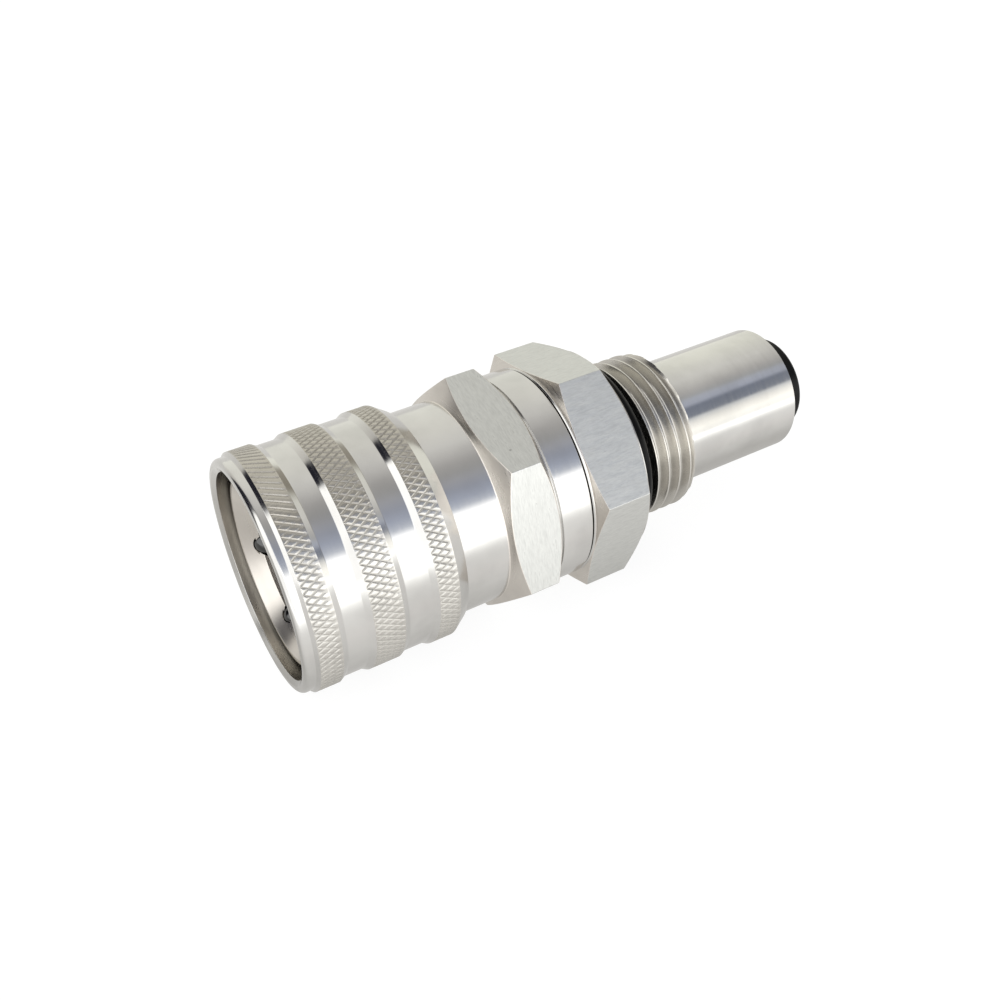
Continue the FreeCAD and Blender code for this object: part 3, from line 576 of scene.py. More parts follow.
def eased(corners, usual_edge=FINE):
    """Rows of an outline whose corners are broken by small rounds.

    A corner is (station, radius), with its own edge size or ready rows as a third value, and
    the kind of face that follows it as a fourth.
    """
    rows = []
    for number, corner in enumerate(corners):
        station, radius, edge, kind = (*corner, *(usual_edge, TURNED)[len(corner) - 2 :])
        if isinstance(edge, list):
            rows += edge
            continue
        if edge == 0:
            rows.append((station, radius, kind))
            continue
        here = Vector((station, radius))
        before = Vector(corners[number - 1][:2]) - here
        after = Vector(corners[(number + 1) % len(corners)][:2]) - here
        reach = min(edge, before.length * 0.4, after.length * 0.4)
        start = here + before.normalized() * reach
        end = here + after.normalized() * reach
        middle = start * 0.25 + here * 0.5 + end * 0.25
        rows += [(*place, kind) for place in (start, middle, end)]
    return rows


def stairs(*steps, ending=()):
    """Corners of a stepped outline, from the station where each step starts and its radius."""
    corners = [(*steps[0], *ending)]
    for (_, radius), (station, following) in zip(steps, steps[1:]):
        corners += [(station, radius, *ending), (station, following, *ending)]
    return corners


def arc_rows(centre, radius, start, end, steps):
    """Rows on an arc; angles in degrees from straight outwards towards the rear."""
    turns = [math.radians(start + (end - start) * step / steps) for step in range(steps + 1)]
    return [
        (centre[0] + radius * math.sin(turn), centre[1] + radius * math.cos(turn), TURNED)
        for turn in turns
    ]


def column_angles(count, hexagon_turn=None):
    """Evenly spread angles, with more of them beside the corners of a hexagon."""
    angles = set(np.round(np.arange(count) * 360 / count, 4))
    if hexagon_turn is not None:
        for corner in range(6):
            for side in CORNER_COLUMNS:
                angles.add(round((hexagon_turn + 60 * corner + side) % 360, 4))
    return np.radians(sorted(angles))


def hexagon_radius(angles, turn):
    """Distance of a hexagon's flats from the axis, with slightly rounded corners."""
    flat = ACROSS_FLATS / 2
    off_corner = np.mod(angles - math.radians(turn) + math.pi / 6, math.pi / 3) - math.pi / 6
    straight = flat / np.cos(math.pi / 6 - np.abs(off_corner))
    centre = (flat - HEX_CORNER_ROUND) / math.cos(math.pi / 6)
    beside = centre * np.sin(off_corner)
    inside = np.abs(beside) < HEX_CORNER_ROUND
    rise = np.sqrt(np.where(inside, HEX_CORNER_ROUND**2 - beside**2, 0))
    rounded_corner = centre * np.cos(off_corner) + rise
    return np.where(inside, np.minimum(straight, rounded_corner), straight)


def hexagon_edge(cone_start, cone_end, flats, along, satin):
    """Rows where a bevel meets the flats. along is 1 at the front and -1 at the rear."""
    run_x = cone_end[0] - cone_start[0]
    run_r = cone_end[1] - cone_start[1]
    share = HEX_EDGE / math.hypot(run_x, run_r)
    meet = cone_start[0] + (flats - cone_start[1]) * (run_x / run_r)
    on_cone = (meet - run_x * share, flats - run_r * share, satin)
    on_flat = (meet + along * HEX_EDGE, flats, MILLED if along > 0 else satin)
    middle_x = on_cone[0] * 0.25 + meet * 0.5 + on_flat[0] * 0.25
    middle = (middle_x, on_cone[1] * 0.25 + flats * 0.75, satin)
    return [on_cone, middle, on_flat][::along]


def hexagon(front, radius, root, lengths, flats, satin):
    """Corners of a bevelled hexagon, from the cylinder before it to the land behind it."""
    corner = front + lengths[0]
    corner_end = corner + lengths[1]
    end = corner_end + lengths[2]
    front_edge = hexagon_edge((front, radius), (corner, HEX_REACH), flats, 1, satin)
    rear_edge = hexagon_edge((end, HEX_LAND), (corner_end, HEX_REACH), flats, -1, satin)
    return [
        (front, radius, root, satin),
        (corner, HEX_REACH, front_edge),
        (corner_end, HEX_REACH, rear_edge),
        (end, HEX_LAND),
    ]


def revolved(rows, angles):
    """A bmesh turned about the axis from closed rows of (station, radius, kind of face).

    Stations and radii may differ from column to column. The kind OPEN leaves the strip open.
    """
    columns = len(angles)
    stations = np.array([np.broadcast_to(row[0], columns) for row in rows])
    radii = np.array([np.broadcast_to(row[1], columns) for row in rows])
    places = np.stack(
        [stations + NOSE_X, -radii * np.sin(angles), radii * np.cos(angles)], axis=2
    )
    mesh = bmesh.new()
    vertices = [mesh.verts.new(place) for place in places.reshape(-1, 3) * MM]
    for number, row in enumerate(rows):
        if row[2] == OPEN:
            continue
        here = number * columns
        following = (number + 1) % len(rows) * columns
        for column in range(columns):
            beside = (column + 1) % columns
            corners = (here + column, following + column, following + beside, here + beside)
            mesh.faces.new([vertices[corner] for corner in corners]).material_index = row[2]
    return mesh


def to_mesh(name, source, materials):
    """A named mesh from a bmesh, with the materials of these names."""
    data = bpy.data.meshes.new(name)
    source.to_mesh(data)
    source.free()
    for material in materials:
        data.materials.append(material_named(material))
    return data


def new_object(name, data):
    made = bpy.data.objects.new(name, data)
    bpy.context.scene.collection.objects.link(made)
    return made


def baked(holder):
    """The evaluated mesh of an object, which is then removed."""
    bpy.context.view_layer.update()
    evaluated = holder.evaluated_get(bpy.context.evaluated_depsgraph_get())
    data = bpy.data.meshes.new_from_object(evaluated)
    spent = holder.data
    bpy.data.objects.remove(holder)
    bpy.data.meshes.remove(spent)
    return data


def tidied(data, sharp=SHARP):
    """Joins doubles, turns faces outwards and gives every corner the normal of its larger face."""
    mesh = bmesh.new()
    mesh.from_mesh(data)
    bmesh.ops.remove_doubles(mesh, verts=mesh.verts, dist=MERGE * MM)
    bmesh.ops.dissolve_degenerate(mesh, edges=mesh.edges, dist=MERGE * MM)
    bmesh.ops.recalc_face_normals(mesh, faces=mesh.faces)
    limit = math.radians(sharp)
    for face in mesh.faces:
        face.smooth = True
    for edge in mesh.edges:
        edge.smooth = len(edge.link_faces) == 2 and edge.calc_face_angle() < limit
    mesh.to_mesh(data)
    mesh.free()
    # Areas of narrow faces would vanish in metres, so the weighing is done in millimetres
    data.transform(Matrix.Scale(1 / MM, 4))
    holder = new_object("normals", data)
    weighted = holder.modifiers.new("weighted", "WEIGHTED_NORMAL")
    weighted.keep_sharp = True
    weighted.weight = 100
    data = baked(holder)
    data.transform(Matrix.Scale(MM, 4))
    return data


def values(items, name, kind=float, parts=1):
    """One property of every item."""
    found = np.empty(len(items) * parts, dtype=kind)
    items.foreach_get(name, found)
    return found.reshape(-1, parts) if parts > 1 else found


def rounded(data, kept):
    """Takes the sideways lean out of the normals of turned faces; kept kinds keep theirs."""
    normals = values(data.corner_normals, "vector", parts=3)
    places = values(data.vertices, "co", parts=3)
    outwards = places[values(data.loops, "vertex_index", int), 1:]
    outwards /= np.maximum(np.linalg.norm(outwards, axis=1, keepdims=True), 1e-9)
    sideways = normals[:, 1] * outwards[:, 1] - normals[:, 2] * outwards[:, 0]
    kinds = values(data.polygons, "material_index", int)
    corner_kinds = np.repeat(kinds, values(data.polygons, "loop_total", int))
    turned = ~np.isin(corner_kinds, kept) & (np.abs(sideways) < SMALL_LEAN)
    lean = np.where(turned, sideways, 0)
    normals[:, 1] -= lean * outwards[:, 1]
    normals[:, 2] += lean * outwards[:, 0]
    normals /= np.linalg.norm(normals, axis=1, keepdims=True)
    data.normals_split_custom_set(normals.tolist())
    return data


def run_tree(data, tree, inputs):
    """The mesh that a geometry tree makes from this one."""
    holder = new_object(tree.name, data)
    modifier = holder.modifiers.new(tree.name, "NODES")
    modifier.node_group = tree
    for socket in tree.interface.items_tree:
        if socket.item_type == "SOCKET" and socket.in_out == "INPUT" and socket.name in inputs:
            modifier[socket.identifier] = inputs[socket.name]
    return baked(holder)


def add_piece(name, data, body, slot, *nodes):
    """Puts a finished mesh in the scene, on its body, in place of its CAD nodes."""
    data.name = name
    piece = new_object(name, data)
    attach(piece, body)
    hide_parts(*nodes)


def dress(material, *nodes):
    """Gives CAD nodes a material."""
    for node in nodes:
        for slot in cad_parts[node].material_slots:
            slot.material = material_named(material)


# Geometry trees


def new_tree(name, *numbers):
    """A geometry tree with a mesh, these numbers and a material as its inputs."""
    tree = bpy.data.node_groups.new(name, "GeometryNodeTree")
    inputs = {"Mesh": "Geometry", **dict.fromkeys(numbers, "Float"), "Material": "Material"}
    for label, kind in inputs.items():
        tree.interface.new_socket(label, in_out="INPUT", socket_type=f"NodeSocket{kind}")
    tree.interface.new_socket("Mesh", in_out="OUTPUT", socket_type="NodeSocketGeometry")
    drawing = Drawing(tree)
    return tree, drawing, drawing.node("NodeGroupInput", output="Mesh")


def placed(drawing, chosen, along, across, up):
    """Moves the chosen vertices to the place that three numbers give."""
    place = drawing.node("ShaderNodeCombineXYZ", {"X": along, "Y": across, "Z": up})
    return drawing.node("GeometryNodeSetPosition", {**chosen, "Position": place})


def end_tree(drawing, geometry, given, kind):
    """Realises the result, and gives the faces of a kind the material."""
    index = drawing.node("GeometryNodeInputMaterialIndex")
    painted = {
        "Geometry": drawing.node("GeometryNodeRealizeInstances", {"Geometry": geometry}),
        "Selection": drawing.maths("COMPARE", index, kind, 0.5),
        "Material": given.output("Material"),
    }
    result = drawing.node("GeometryNodeSetMaterial", painted)
    drawing.node("NodeGroupOutput", {"Mesh": result})


def knurl_tree():
    """Rolls two hands of helical grooves into the bands."""
    tree, drawing, given = new_tree(
        "knurl_rolling", "Starts", "Band radius", "Groove depth", "Groove half width"
    )
    along, across, up = drawing.split(drawing.node("GeometryNodeInputPosition"))
    radius = distance_over(across, up)
    turn = (across * -1).maths("ARCTAN2", up) * (0.5 / math.pi) * given.output("Starts")
    pitches = drawing.mark("knurl_along")
    first = (turn + pitches).from_whole() + drawing.mark("knurl_faint")
    nearest = first.least((turn - pitches).from_whole())
    flank = (1 - nearest / given.output("Groove half width")).most(0)
    curved = flank * flank * (3 - flank * 2)
    eased_flank = curved * KNURL_CURVED + flank * (1 - KNURL_CURVED)
    depth = eased_flank * drawing.mark("knurl_reach")
    floor = given.output("Band radius") - depth * given.output("Groove depth")
    share = radius.least(floor) / radius
    noted = drawing.node(
        "GeometryNodeStoreNamedAttribute",
        {"Geometry": given, "Name": "knurl_cut", "Value": depth},
        data_type="FLOAT",
        domain="POINT",
    )
    cut = placed(drawing, {"Geometry": noted}, along, across * share, up * share)
    end_tree(drawing, cut, given, KNURLED)
    return tree


def thread_tree():
    """Winds the marked grid into a helical thread, clipped by a bevel at each end."""
    tree, drawing, given = new_tree(
        "thread_cutting", "Major radius", "Minor radius", "Undercut radius", "Pitch",
        "First crest", "Start", "End",
    )
    ring = drawing.mark("thread_ring")
    turn = drawing.mark("thread_turn")
    major = given.output("Major radius")
    minor = given.output("Minor radius")
    start = given.output("Start")
    end = given.output("End")
    crests = turn + ring - TURNS_AHEAD
    along = (given.output("First crest") + crests * given.output("Pitch")).most(start).least(end)
    flank = ((1 - ring.from_whole() * 2) * (1 / CREST_EDGE)).most(0).least(1)
    run_out = minor + (along - end + RUN_OUT * MM) * RUN_OUT_STEEPNESS
    profile = (minor + (major - minor) * flank**FLANK_HOLLOW).most(run_out).least(major)
    front_bevel = given.output("Undercut radius") + (along - start) * FRONT_BEVEL_STEEPNESS
    rear_bevel = minor + (end - along) * REAR_BEVEL_STEEPNESS
    radius = profile.least(front_bevel).least(rear_bevel)
    angle = turn * math.tau
    across = radius * angle.maths("SINE") * -1
    up = radius * angle.maths("COSINE")
    grid = {"Geometry": given, "Selection": drawing.mark("thread_grid")}
    cut = placed(drawing, grid, along, across, up)
    joined = drawing.node(
        "GeometryNodeMergeByDistance", {"Geometry": cut, "Distance": THREAD_MERGE * MM}
    )
    end_tree(drawing, joined, given, THREADED)
    return tree


# Pieces


def knurled_rows(start, end, step):
    """Rows across a knurled band, between its two ends."""
    count = round((end - start) / step)
    return [(start + (end - start) * row / count, BAND_RADIUS, KNURLED) for row in range(1, count)]


def sleeve_rows(step):
    """The sleeve's outline from its rim round the outside and back along the bore."""
    bands = []
    start = SLEEVE_FRONT + COLLAR_LENGTH + FRONT_BEVEL
    for band, groove in zip(BAND_LENGTHS, (*GROOVE_LENGTHS, 0)):
        bands.append((start, start + band))
        start += band + 2 * GROOVE_BEVEL + groove
    collar = BAND_RADIUS - KNURL_HEIGHT
    rim = arc_rows((SLEEVE_FRONT + RIM_ROUND, collar - RIM_ROUND), RIM_ROUND, -90, 0, 8)
    corners = [
        (SLEEVE_FRONT, RELIEF_RADIUS + RIM_LIP, KEEN),
        (SLEEVE_FRONT + RIM_ROUND, collar, rim),
        (SLEEVE_FRONT + COLLAR_LENGTH, collar),
    ]
    for number, (start, end) in enumerate(bands):
        if number > 0:
            corners += [(bands[number - 1][1] + GROOVE_BEVEL, collar), (start - GROOVE_BEVEL, collar)]
        corners += [
            (start, BAND_RADIUS, 0, KNURLED),
            (end, BAND_RADIUS, knurled_rows(start, end, step)),
            (end, BAND_RADIUS, 0),
        ]
    ring_rear = rear_of("sleeve_retaining_ring") + RING_SIDE_GAP
    ring_front = front_of("sleeve_retaining_ring") - RING_SIDE_GAP
    corners += [
        (SLEEVE_REAR, SLEEVE_END_RADIUS),
        (SLEEVE_REAR, SLEEVE_BORE + SLEEVE_BORE_BEVEL, CRISP, BORED),
        *stairs(
            (SLEEVE_REAR - SLEEVE_BORE_BEVEL, SLEEVE_BORE),
            (ring_rear, RING_GROOVE_FLOOR),
            (ring_front, SLEEVE_BORE),
            ending=(CRISP, BORED),
        ),
        (LAND_REAR, SLEEVE_BORE, CRISP, BORED),
        (LAND_REAR, LAND_RADIUS, FINE, BORED),
        (LAND_FRONT, LAND_RADIUS, FINE, BORED),
        (LAND_FRONT - CAM_LENGTH, RELIEF_RADIUS, FINE, BORED),
        (SLEEVE_FRONT + RIM_LIP_LENGTH, RELIEF_RADIUS, FINE),
    ]
    return eased(corners, EDGE), bands


def smooth_step(value, low, high):
    share = min(max((value - low) / (high - low), 0), 1)
    return share * share * (3 - 2 * share)


def mark_knurl(mesh, bands, pitch):
    """Notes on each vertex how far it lies along its band, and how deep and faint the knurl is."""
    layers = mesh.verts.layers.float
    along, reach, faint = [layers.new(f"knurl_{name}") for name in ("along", "reach", "faint")]
    for vertex in mesh.verts:
        station = station_of(vertex.co.x)
        start, end = next(band for band in bands[::-1] if band[0] <= station or band is bands[0])
        vertex[along] = (station - start) / pitch
        shallow = min((station - start) / KNURL_RUN_IN, (end - station) / KNURL_RUN_OUT)
        vertex[reach] = min(max(shallow, 0), 1)
        if station < bands[1][0]:
            away = abs(math.degrees(math.atan2(-vertex.co.y, vertex.co.z)) - FAINT_TURN)
            vertex[faint] = FAINT_HAND * (1 - smooth_step(away, FAINT_FULL, FAINT_END))


def make_locking_sleeve(knurl):
    step = knurl.row_step / MM
    rows, bands = sleeve_rows(step)
    mesh = revolved(rows, column_angles(knurl.starts * COLUMNS_PER_START))
    bmesh.ops.poke(mesh, faces=[face for face in mesh.faces if face.material_index == KNURLED])
    mark_knurl(mesh, bands, step * COLUMNS_PER_START)
    inputs = {
        "Starts": float(knurl.starts),
        "Band radius": BAND_RADIUS * MM,
        "Groove depth": knurl.depth,
        "Groove half width": knurl.half_width,
        "Material": material_named("steel_knurled"),
    }
    data = run_tree(to_mesh("locking_sleeve_blank", mesh, SLEEVE_STEELS), knurl_tree(), inputs)
    data = tidied(data, SLEEVE_SHARP)
    add_piece("locking_sleeve_knurled", data, "sleeve", "sleeve_steel", "locking_sleeve")


def body_rows(angles):
    flats = hexagon_radius(angles, BODY_HEX_TURN)
    groove = BODY_HEX_FRONT + sum(BODY_HEX) + SHANK_GROOVE_GAP
    shank = groove + SHANK_GROOVE_WIDTH
    corners = [
        (0, MOUTH_RADIUS + MOUTH_LEAD, FINE, BODY_SATIN),
        (0, NOSE_RADIUS - NOSE_CHAMFER, SOFT),
        (NOSE_CHAMFER, NOSE_RADIUS, SOFT),
        (BARREL_START, NOSE_RADIUS, CRISP),
        *stairs(
            (BARREL_START, BARREL_RADIUS),
            (RING_GROOVE_FRONT, RING_GROOVE_RADIUS),
            (RING_GROOVE_REAR, BARREL_RADIUS),
        ),
        *hexagon(BODY_HEX_FRONT, BARREL_RADIUS, BODY_HEX_ROOT, BODY_HEX, flats, BODY_SATIN),
        (groove, HEX_LAND, CRISP),
        (groove, SHANK_GROOVE_RADIUS, CRISP),
        (shank, SHANK_GROOVE_RADIUS, CRISP),
        (shank, SHANK_RADIUS),
        (BODY_END - SHANK_EDGE, SHANK_RADIUS, KEEN),
        (BODY_END, SHANK_RADIUS - SHANK_EDGE, KEEN),
        (BODY_END, SPIGOT_BORE_RADIUS + SPIGOT_BORE_BEVEL),
        *stairs(
            (BODY_END - SPIGOT_BORE_BEVEL, SPIGOT_BORE_RADIUS), (CHAMBER_END, CHAMBER_RADIUS)
        ),
        (THROAT_END + CHAMBER_RADIUS - THROAT_RADIUS, CHAMBER_RADIUS, BROAD),
        (THROAT_END, THROAT_RADIUS, BROAD),
        (PLUG_STOP, THROAT_RADIUS),
        *stairs(
            (PLUG_STOP, GUIDE_RADIUS), (SEAL_GROOVE_END, SEAL_FLOOR), (GUIDE_END, GUIDE_RADIUS)
        ),
        (GUIDE_START, GUIDE_RADIUS),
        (GUIDE_START - (MOUTH_RADIUS - GUIDE_RADIUS), MOUTH_RADIUS, FINE, BODY_SATIN),
        (MOUTH_LEAD, MOUTH_RADIUS, FINE, BODY_SATIN),
    ]
    return eased(corners)


def turned_by(angle, axis):
    return Matrix.Rotation(math.radians(angle), 4, axis)


def swing_plug(mesh, geometry, angle):
    """Stands a plug on the axis, at the balls' station, at an angle from straight up."""
    move = Matrix.Translation(((BALL_STATION + NOSE_X) * MM, 0, 0))
    matrix = move @ turned_by(angle, "X") @ turned_by(-90, "Y")
    vertices = [item for item in geometry if isinstance(item, bmesh.types.BMVert)]
    bmesh.ops.transform(mesh, matrix=matrix, verts=vertices)


def ball_hole_cutter():
    """Six stepped plugs that cut the holes for the locking balls."""
    rows = [
        (BALL_HOLE_BOTTOM, 0.0, TURNED),
        (BALL_HOLE_BOTTOM, BALL_LIP_RADIUS, TURNED),
        (BALL_LIP_TOP, BALL_LIP_RADIUS, TURNED),
        (BALL_LIP_TOP, BALL_HOLE_RADIUS, TURNED),
        (BALL_HOLE_TOP, BALL_HOLE_RADIUS, TURNED),
        (BALL_HOLE_TOP, 0.0, OPEN),
    ]
    plug = revolved(rows, column_angles(BALL_HOLE_COLUMNS))
    bmesh.ops.remove_doubles(plug, verts=plug.verts, dist=PLUG_MERGE * MM)
    bmesh.ops.translate(plug, verts=plug.verts, vec=(-NOSE_X * MM, 0, 0))
    first = plug.verts[:] + plug.edges[:] + plug.faces[:]
    for number in range(1, BALL_COUNT):
        copy = bmesh.ops.duplicate(plug, geom=first)["geom"]
        swing_plug(plug, copy, BALL_TURN + 360 / BALL_COUNT * number)
    swing_plug(plug, first, BALL_TURN)
    bmesh.ops.recalc_face_normals(plug, faces=plug.faces)
    return to_mesh("ball_hole_plugs", plug, [])


def drilled(data):
    """The mesh with the ball holes cut."""
    holder = new_object("body_blank", data)
    plugs = new_object("ball_hole_plugs", ball_hole_cutter())
    cut = holder.modifiers.new("holes", "BOOLEAN")
    cut.operation = "DIFFERENCE"
    cut.solver = "EXACT"
    cut.object = plugs
    data = baked(holder)
    bpy.data.objects.remove(plugs)
    return data


def make_socket_body():
    angles = column_angles(COLUMNS, BODY_HEX_TURN)
    mesh = revolved(body_rows(angles), angles)
    bmesh.ops.recalc_face_normals(mesh, faces=mesh.faces)
    data = tidied(drilled(to_mesh("socket_body_blank", mesh, BODY_STEELS)))
    data = rounded(data, [MILLED])
    add_piece("socket_body_finished", data, "socket", "body_steel", "socket_body")


def adapter_rows(angles):
    """The adapter's outline, open where the thread goes, and the thread's two ends."""
    flats = hexagon_radius(angles, ADAPTER_HEX_TURN)
    shoulder = BODY_END + JOINT_GAP
    hex_front = shoulder + ADAPTER_BOSS
    port_face = hex_front + sum(ADAPTER_HEX) + PORT_FACE_RISE
    thread_start = port_face + UNDERCUT_LENGTH
    thread_end = thread_start + THREAD_LENGTH
    groove = ADAPTER_START + SPIGOT_GROOVE
    groove_end = groove + SPIGOT_GROOVE_WIDTH
    corners = [
        (ADAPTER_START, FUNNEL_RADIUS),
        (ADAPTER_START, SPIGOT_RADIUS - SPIGOT_CHAMFER),
        *stairs(
            (ADAPTER_START + SPIGOT_CHAMFER, SPIGOT_RADIUS),
            (groove, SPIGOT_GROOVE_RADIUS),
            (groove_end, SPIGOT_RADIUS),
        ),
        (shoulder, SPIGOT_RADIUS, CRISP),
        (shoulder, SHANK_RADIUS - SHANK_EDGE, KEEN),
        (shoulder + SHANK_EDGE, SHANK_RADIUS, KEEN),
        *hexagon(hex_front, SHANK_RADIUS, KEEN, ADAPTER_HEX, flats, ADAPTER_SATIN),
        (port_face, HEX_LAND),
        (port_face, UNDERCUT_RADIUS, BROAD),
        (thread_start, UNDERCUT_RADIUS, 0, OPEN),
        (thread_end, THREAD_MINOR, 0),
        (thread_end, TUBE_RADIUS, SOFT, TUBE),
        (TUBE_END, TUBE_RADIUS),
        *stairs(
            (TUBE_END, COLLET_CHAMBER_RADIUS),
            (WASHER_START, SEAL_CAVITY_RADIUS),
            (SEAL_CAVITY, LINE_STOP_RADIUS),
            (LINE_STOP, WATERWAY_RADIUS),
        ),
        (ADAPTER_START + FUNNEL_LENGTH, WATERWAY_RADIUS, FUNNEL_ROUND),
    ]
    return eased(corners), thread_start, thread_end


def add_thread_grid(mesh, angles):
    """A grid of unplaced vertices that know their ring and turn, for the thread's tree."""
    turns = THREAD_LENGTH / THREAD_PITCH + TURNS_AHEAD
    layers = mesh.verts.layers.float
    ring_layer, turn_layer, grid_layer = [
        layers.new(f"thread_{name}") for name in ("ring", "turn", "grid")
    ]
    rows = []
    for ring in range(math.ceil(turns * RINGS_PER_PITCH) + 1):
        row = []
        for share in [*(angles / math.tau), 1.0]:
            vertex = mesh.verts.new((ring, share, 0))
            vertex[ring_layer] = ring / RINGS_PER_PITCH
            vertex[turn_layer] = share
            vertex[grid_layer] = 1.0
            row.append(vertex)
        rows.append(row)
    for row, following in zip(rows, rows[1:]):
        for column in range(len(angles)):
            corners = (row[column], following[column], following[column + 1], row[column + 1])
            mesh.faces.new(corners).material_index = THREADED


def make_rear_adapter(thread):
    angles = column_angles(COLUMNS, ADAPTER_HEX_TURN)
    rows, thread_start, thread_end = adapter_rows(angles)
    mesh = revolved(rows, angles)
    add_thread_grid(mesh, angles)
    inputs = {
        "Major radius": thread.major_radius,
        "Minor radius": thread.minor_radius,
        "Undercut radius": UNDERCUT_RADIUS * MM,
        "Pitch": thread.pitch,
        "First crest": (thread_start + THREAD_FIRST_CREST + NOSE_X) * MM,
        "Start": (thread_start + NOSE_X) * MM,
        "End": (thread_end + NOSE_X) * MM,
        "Material": material_named("steel_thread"),
    }
    data = run_tree(to_mesh("rear_adapter_blank", mesh, ADAPTER_STEELS), thread_tree(), inputs)
    data = rounded(tidied(data), [MILLED, THREADED])
    add_piece("rear_adapter_finished", data, "socket", "adapter_steel", "rear_adapter")


def make_port_seal():
    """The port's O-ring, squeezed until it fills the undercut."""
    centre = (front_of("port_o_ring") + PORT_SEAL_SECTION, PORT_SEAL_REACH - PORT_SEAL_SECTION)
    rows = arc_rows(centre, PORT_SEAL_SECTION, 0, 360, PORT_SEAL_ROWS)[:-1]
    mesh = revolved(rows, column_angles(PORT_SEAL_COLUMNS))
    data = tidied(to_mesh("port_seal", mesh, ["rubber_port"]))
    add_piece("port_o_ring_seated", data, "socket", "port_rubber", "port_o_ring")


# Stage

# Where the camera stands, with angles in degrees
STAND = -31.9
DISTANCE = 141.89
LIFT = 1.952
RISE = 46.8
YAW = 21.994
ROLL = 21.166


def make_camera(stage):
    """Looks at the connector as the photograph does.

    The camera stands over a point of the axis, swung about the axis by RISE from straight up
    towards the front. There it is turned aside by YAW and in its own plane by ROLL.
    """
    lens = bpy.data.cameras.new("camera")
    lens.lens = stage.lens
    lens.sensor_width = 36
    lens.clip_start = 0.005
    lens.clip_end = 20
    camera = new_object("camera", lens)
    stand = Matrix.Translation((STAND * MM, 0, 0)) @ turned_by(RISE, "X")
    lifted = Matrix.Translation((0, -LIFT * MM, DISTANCE * MM))
    camera.matrix_world = stand @ lifted @ turned_by(-YAW, "Y") @ turned_by(-ROLL, "Z")
    bpy.context.scene.camera = camera


# Radiance round the axis: degrees from the front (-Y) over the top, and its colour
STUDIO = (
    (-180, 1.06, 1.06, 0.98), (-150, 0.84, 0.83, 0.79), (-60, 0.86, 0.85, 0.82),
    (-20, 1.1, 1.1, 1.08), (-10, 1.5, 1.5, 1.48), (0, 2.1, 2.1, 2.08), (30, 2.3, 2.3, 2.32),
    (37, 0.74, 0.79, 0.9), (46, 0.52, 0.57, 0.7), (56, 0.44, 0.47, 0.56),
    (66, 0.5, 0.51, 0.55), (74, 0.47, 0.47, 0.47), (84, 0.54, 0.53, 0.52),
    (96, 0.72, 0.71, 0.69), (108, 0.88, 0.87, 0.84), (130, 0.98, 0.97, 0.91),
    (180, 1.06, 1.06, 0.98),
)
# The pattern slants: it turns by this many degrees from the mouth's end to the tail's
SLANT = 28
SLANT_FROM = 0.25
# Radiance round the axis as the tail mirrors it
TAIL_SIDE = (
    (-180, 1.1, 1.1, 1.0), (-150, 0.84, 0.83, 0.79), (-40, 0.88, 0.87, 0.84),
    (-16, 1.06, 1.06, 1.04), (-4, 1.5, 1.5, 1.46), (10, 1.75, 1.72, 1.62),
    (22, 1.3, 1.28, 1.22), (30, 0.9, 0.92, 0.94), (34, 0.3, 0.33, 0.4), (50, 0.26, 0.29, 0.37),
    (56, 0.56, 0.6, 0.72), (64, 0.6, 0.64, 0.74), (71, 0.55, 0.56, 0.57),
    (80, 0.64, 0.63, 0.62), (92, 0.8, 0.79, 0.76), (106, 0.94, 0.93, 0.89),
    (145, 1.08, 1.08, 0.98), (180, 1.1, 1.1, 1.0),
)
# Radiance round the axis beyond the tail, which only slopes that face it mirror
FAR_SIDE = (
    (-180, 0.5, 0.47, 0.4), (-75, 1.0, 0.98, 0.94), (-30, 1.6, 1.58, 1.52),
    (0, 2.1, 2.1, 2.04), (24, 2.0, 2.0, 1.98), (38, 0.5, 0.5, 0.5), (70, 0.3, 0.28, 0.25),
    (130, 0.3, 0.27, 0.22), (180, 0.5, 0.47, 0.4),
)
# Radiance beyond the sleeve's mouth: degrees from straight ahead of it towards the back
MOUTH_SIDE = (
    (-180, 0.9, 0.9, 0.88), (-100, 1.2, 1.2, 1.2), (-70, 1.7, 1.7, 1.7),
    (19, 1.75, 1.75, 1.72), (25, 0.02, 0.02, 0.03), (53, 0.02, 0.02, 0.03),
    (57, 0.8, 0.78, 0.73), (90, 1.0, 0.98, 0.92), (180, 1.0, 0.98, 0.92),
)
# The floor in the steel's mirror: millimetres in front of the axis, and its radiance. It holds a
# painted shadow under the connector and painted lamp light further in front
FLOOR_MIRRORED = (
    (-60, 0.82, 0.81, 0.78), (-20, 0.78, 0.77, 0.74), (0, 0.56, 0.55, 0.53),
    (12, 0.68, 0.67, 0.65), (20, 0.88, 0.87, 0.85), (32, 1.02, 1.0, 0.98),
    (45, 1.08, 1.07, 1.05), (65, 1.16, 1.15, 1.13), (95, 1.5, 1.5, 1.47),
    (150, 2.1, 2.1, 2.08),
)
# Where each of them takes over, as a direction's part along the axis: from, and fully
TAIL_TURN = (0.46, 0.52)
FAR_TURN = (0.6, 0.68)
FAR_END = (0.86, 0.79)
MOUTH_TURN = (-0.2, -0.4)
BRIGHTEST = 2.4
# The black board before the mouth, as the floor shows it: its colour and its bearings
BOARD = (0.01, 0.01, 0.015)
BOARD_EDGES = (21, 25, 53, 57)
WHITE = (1, 1, 1, 1)
FLOOR_MATT = (0.8, 0.8, 0.8, 1)
FLOOR_SHADED = (0.2, 0.2, 0.2, 1)


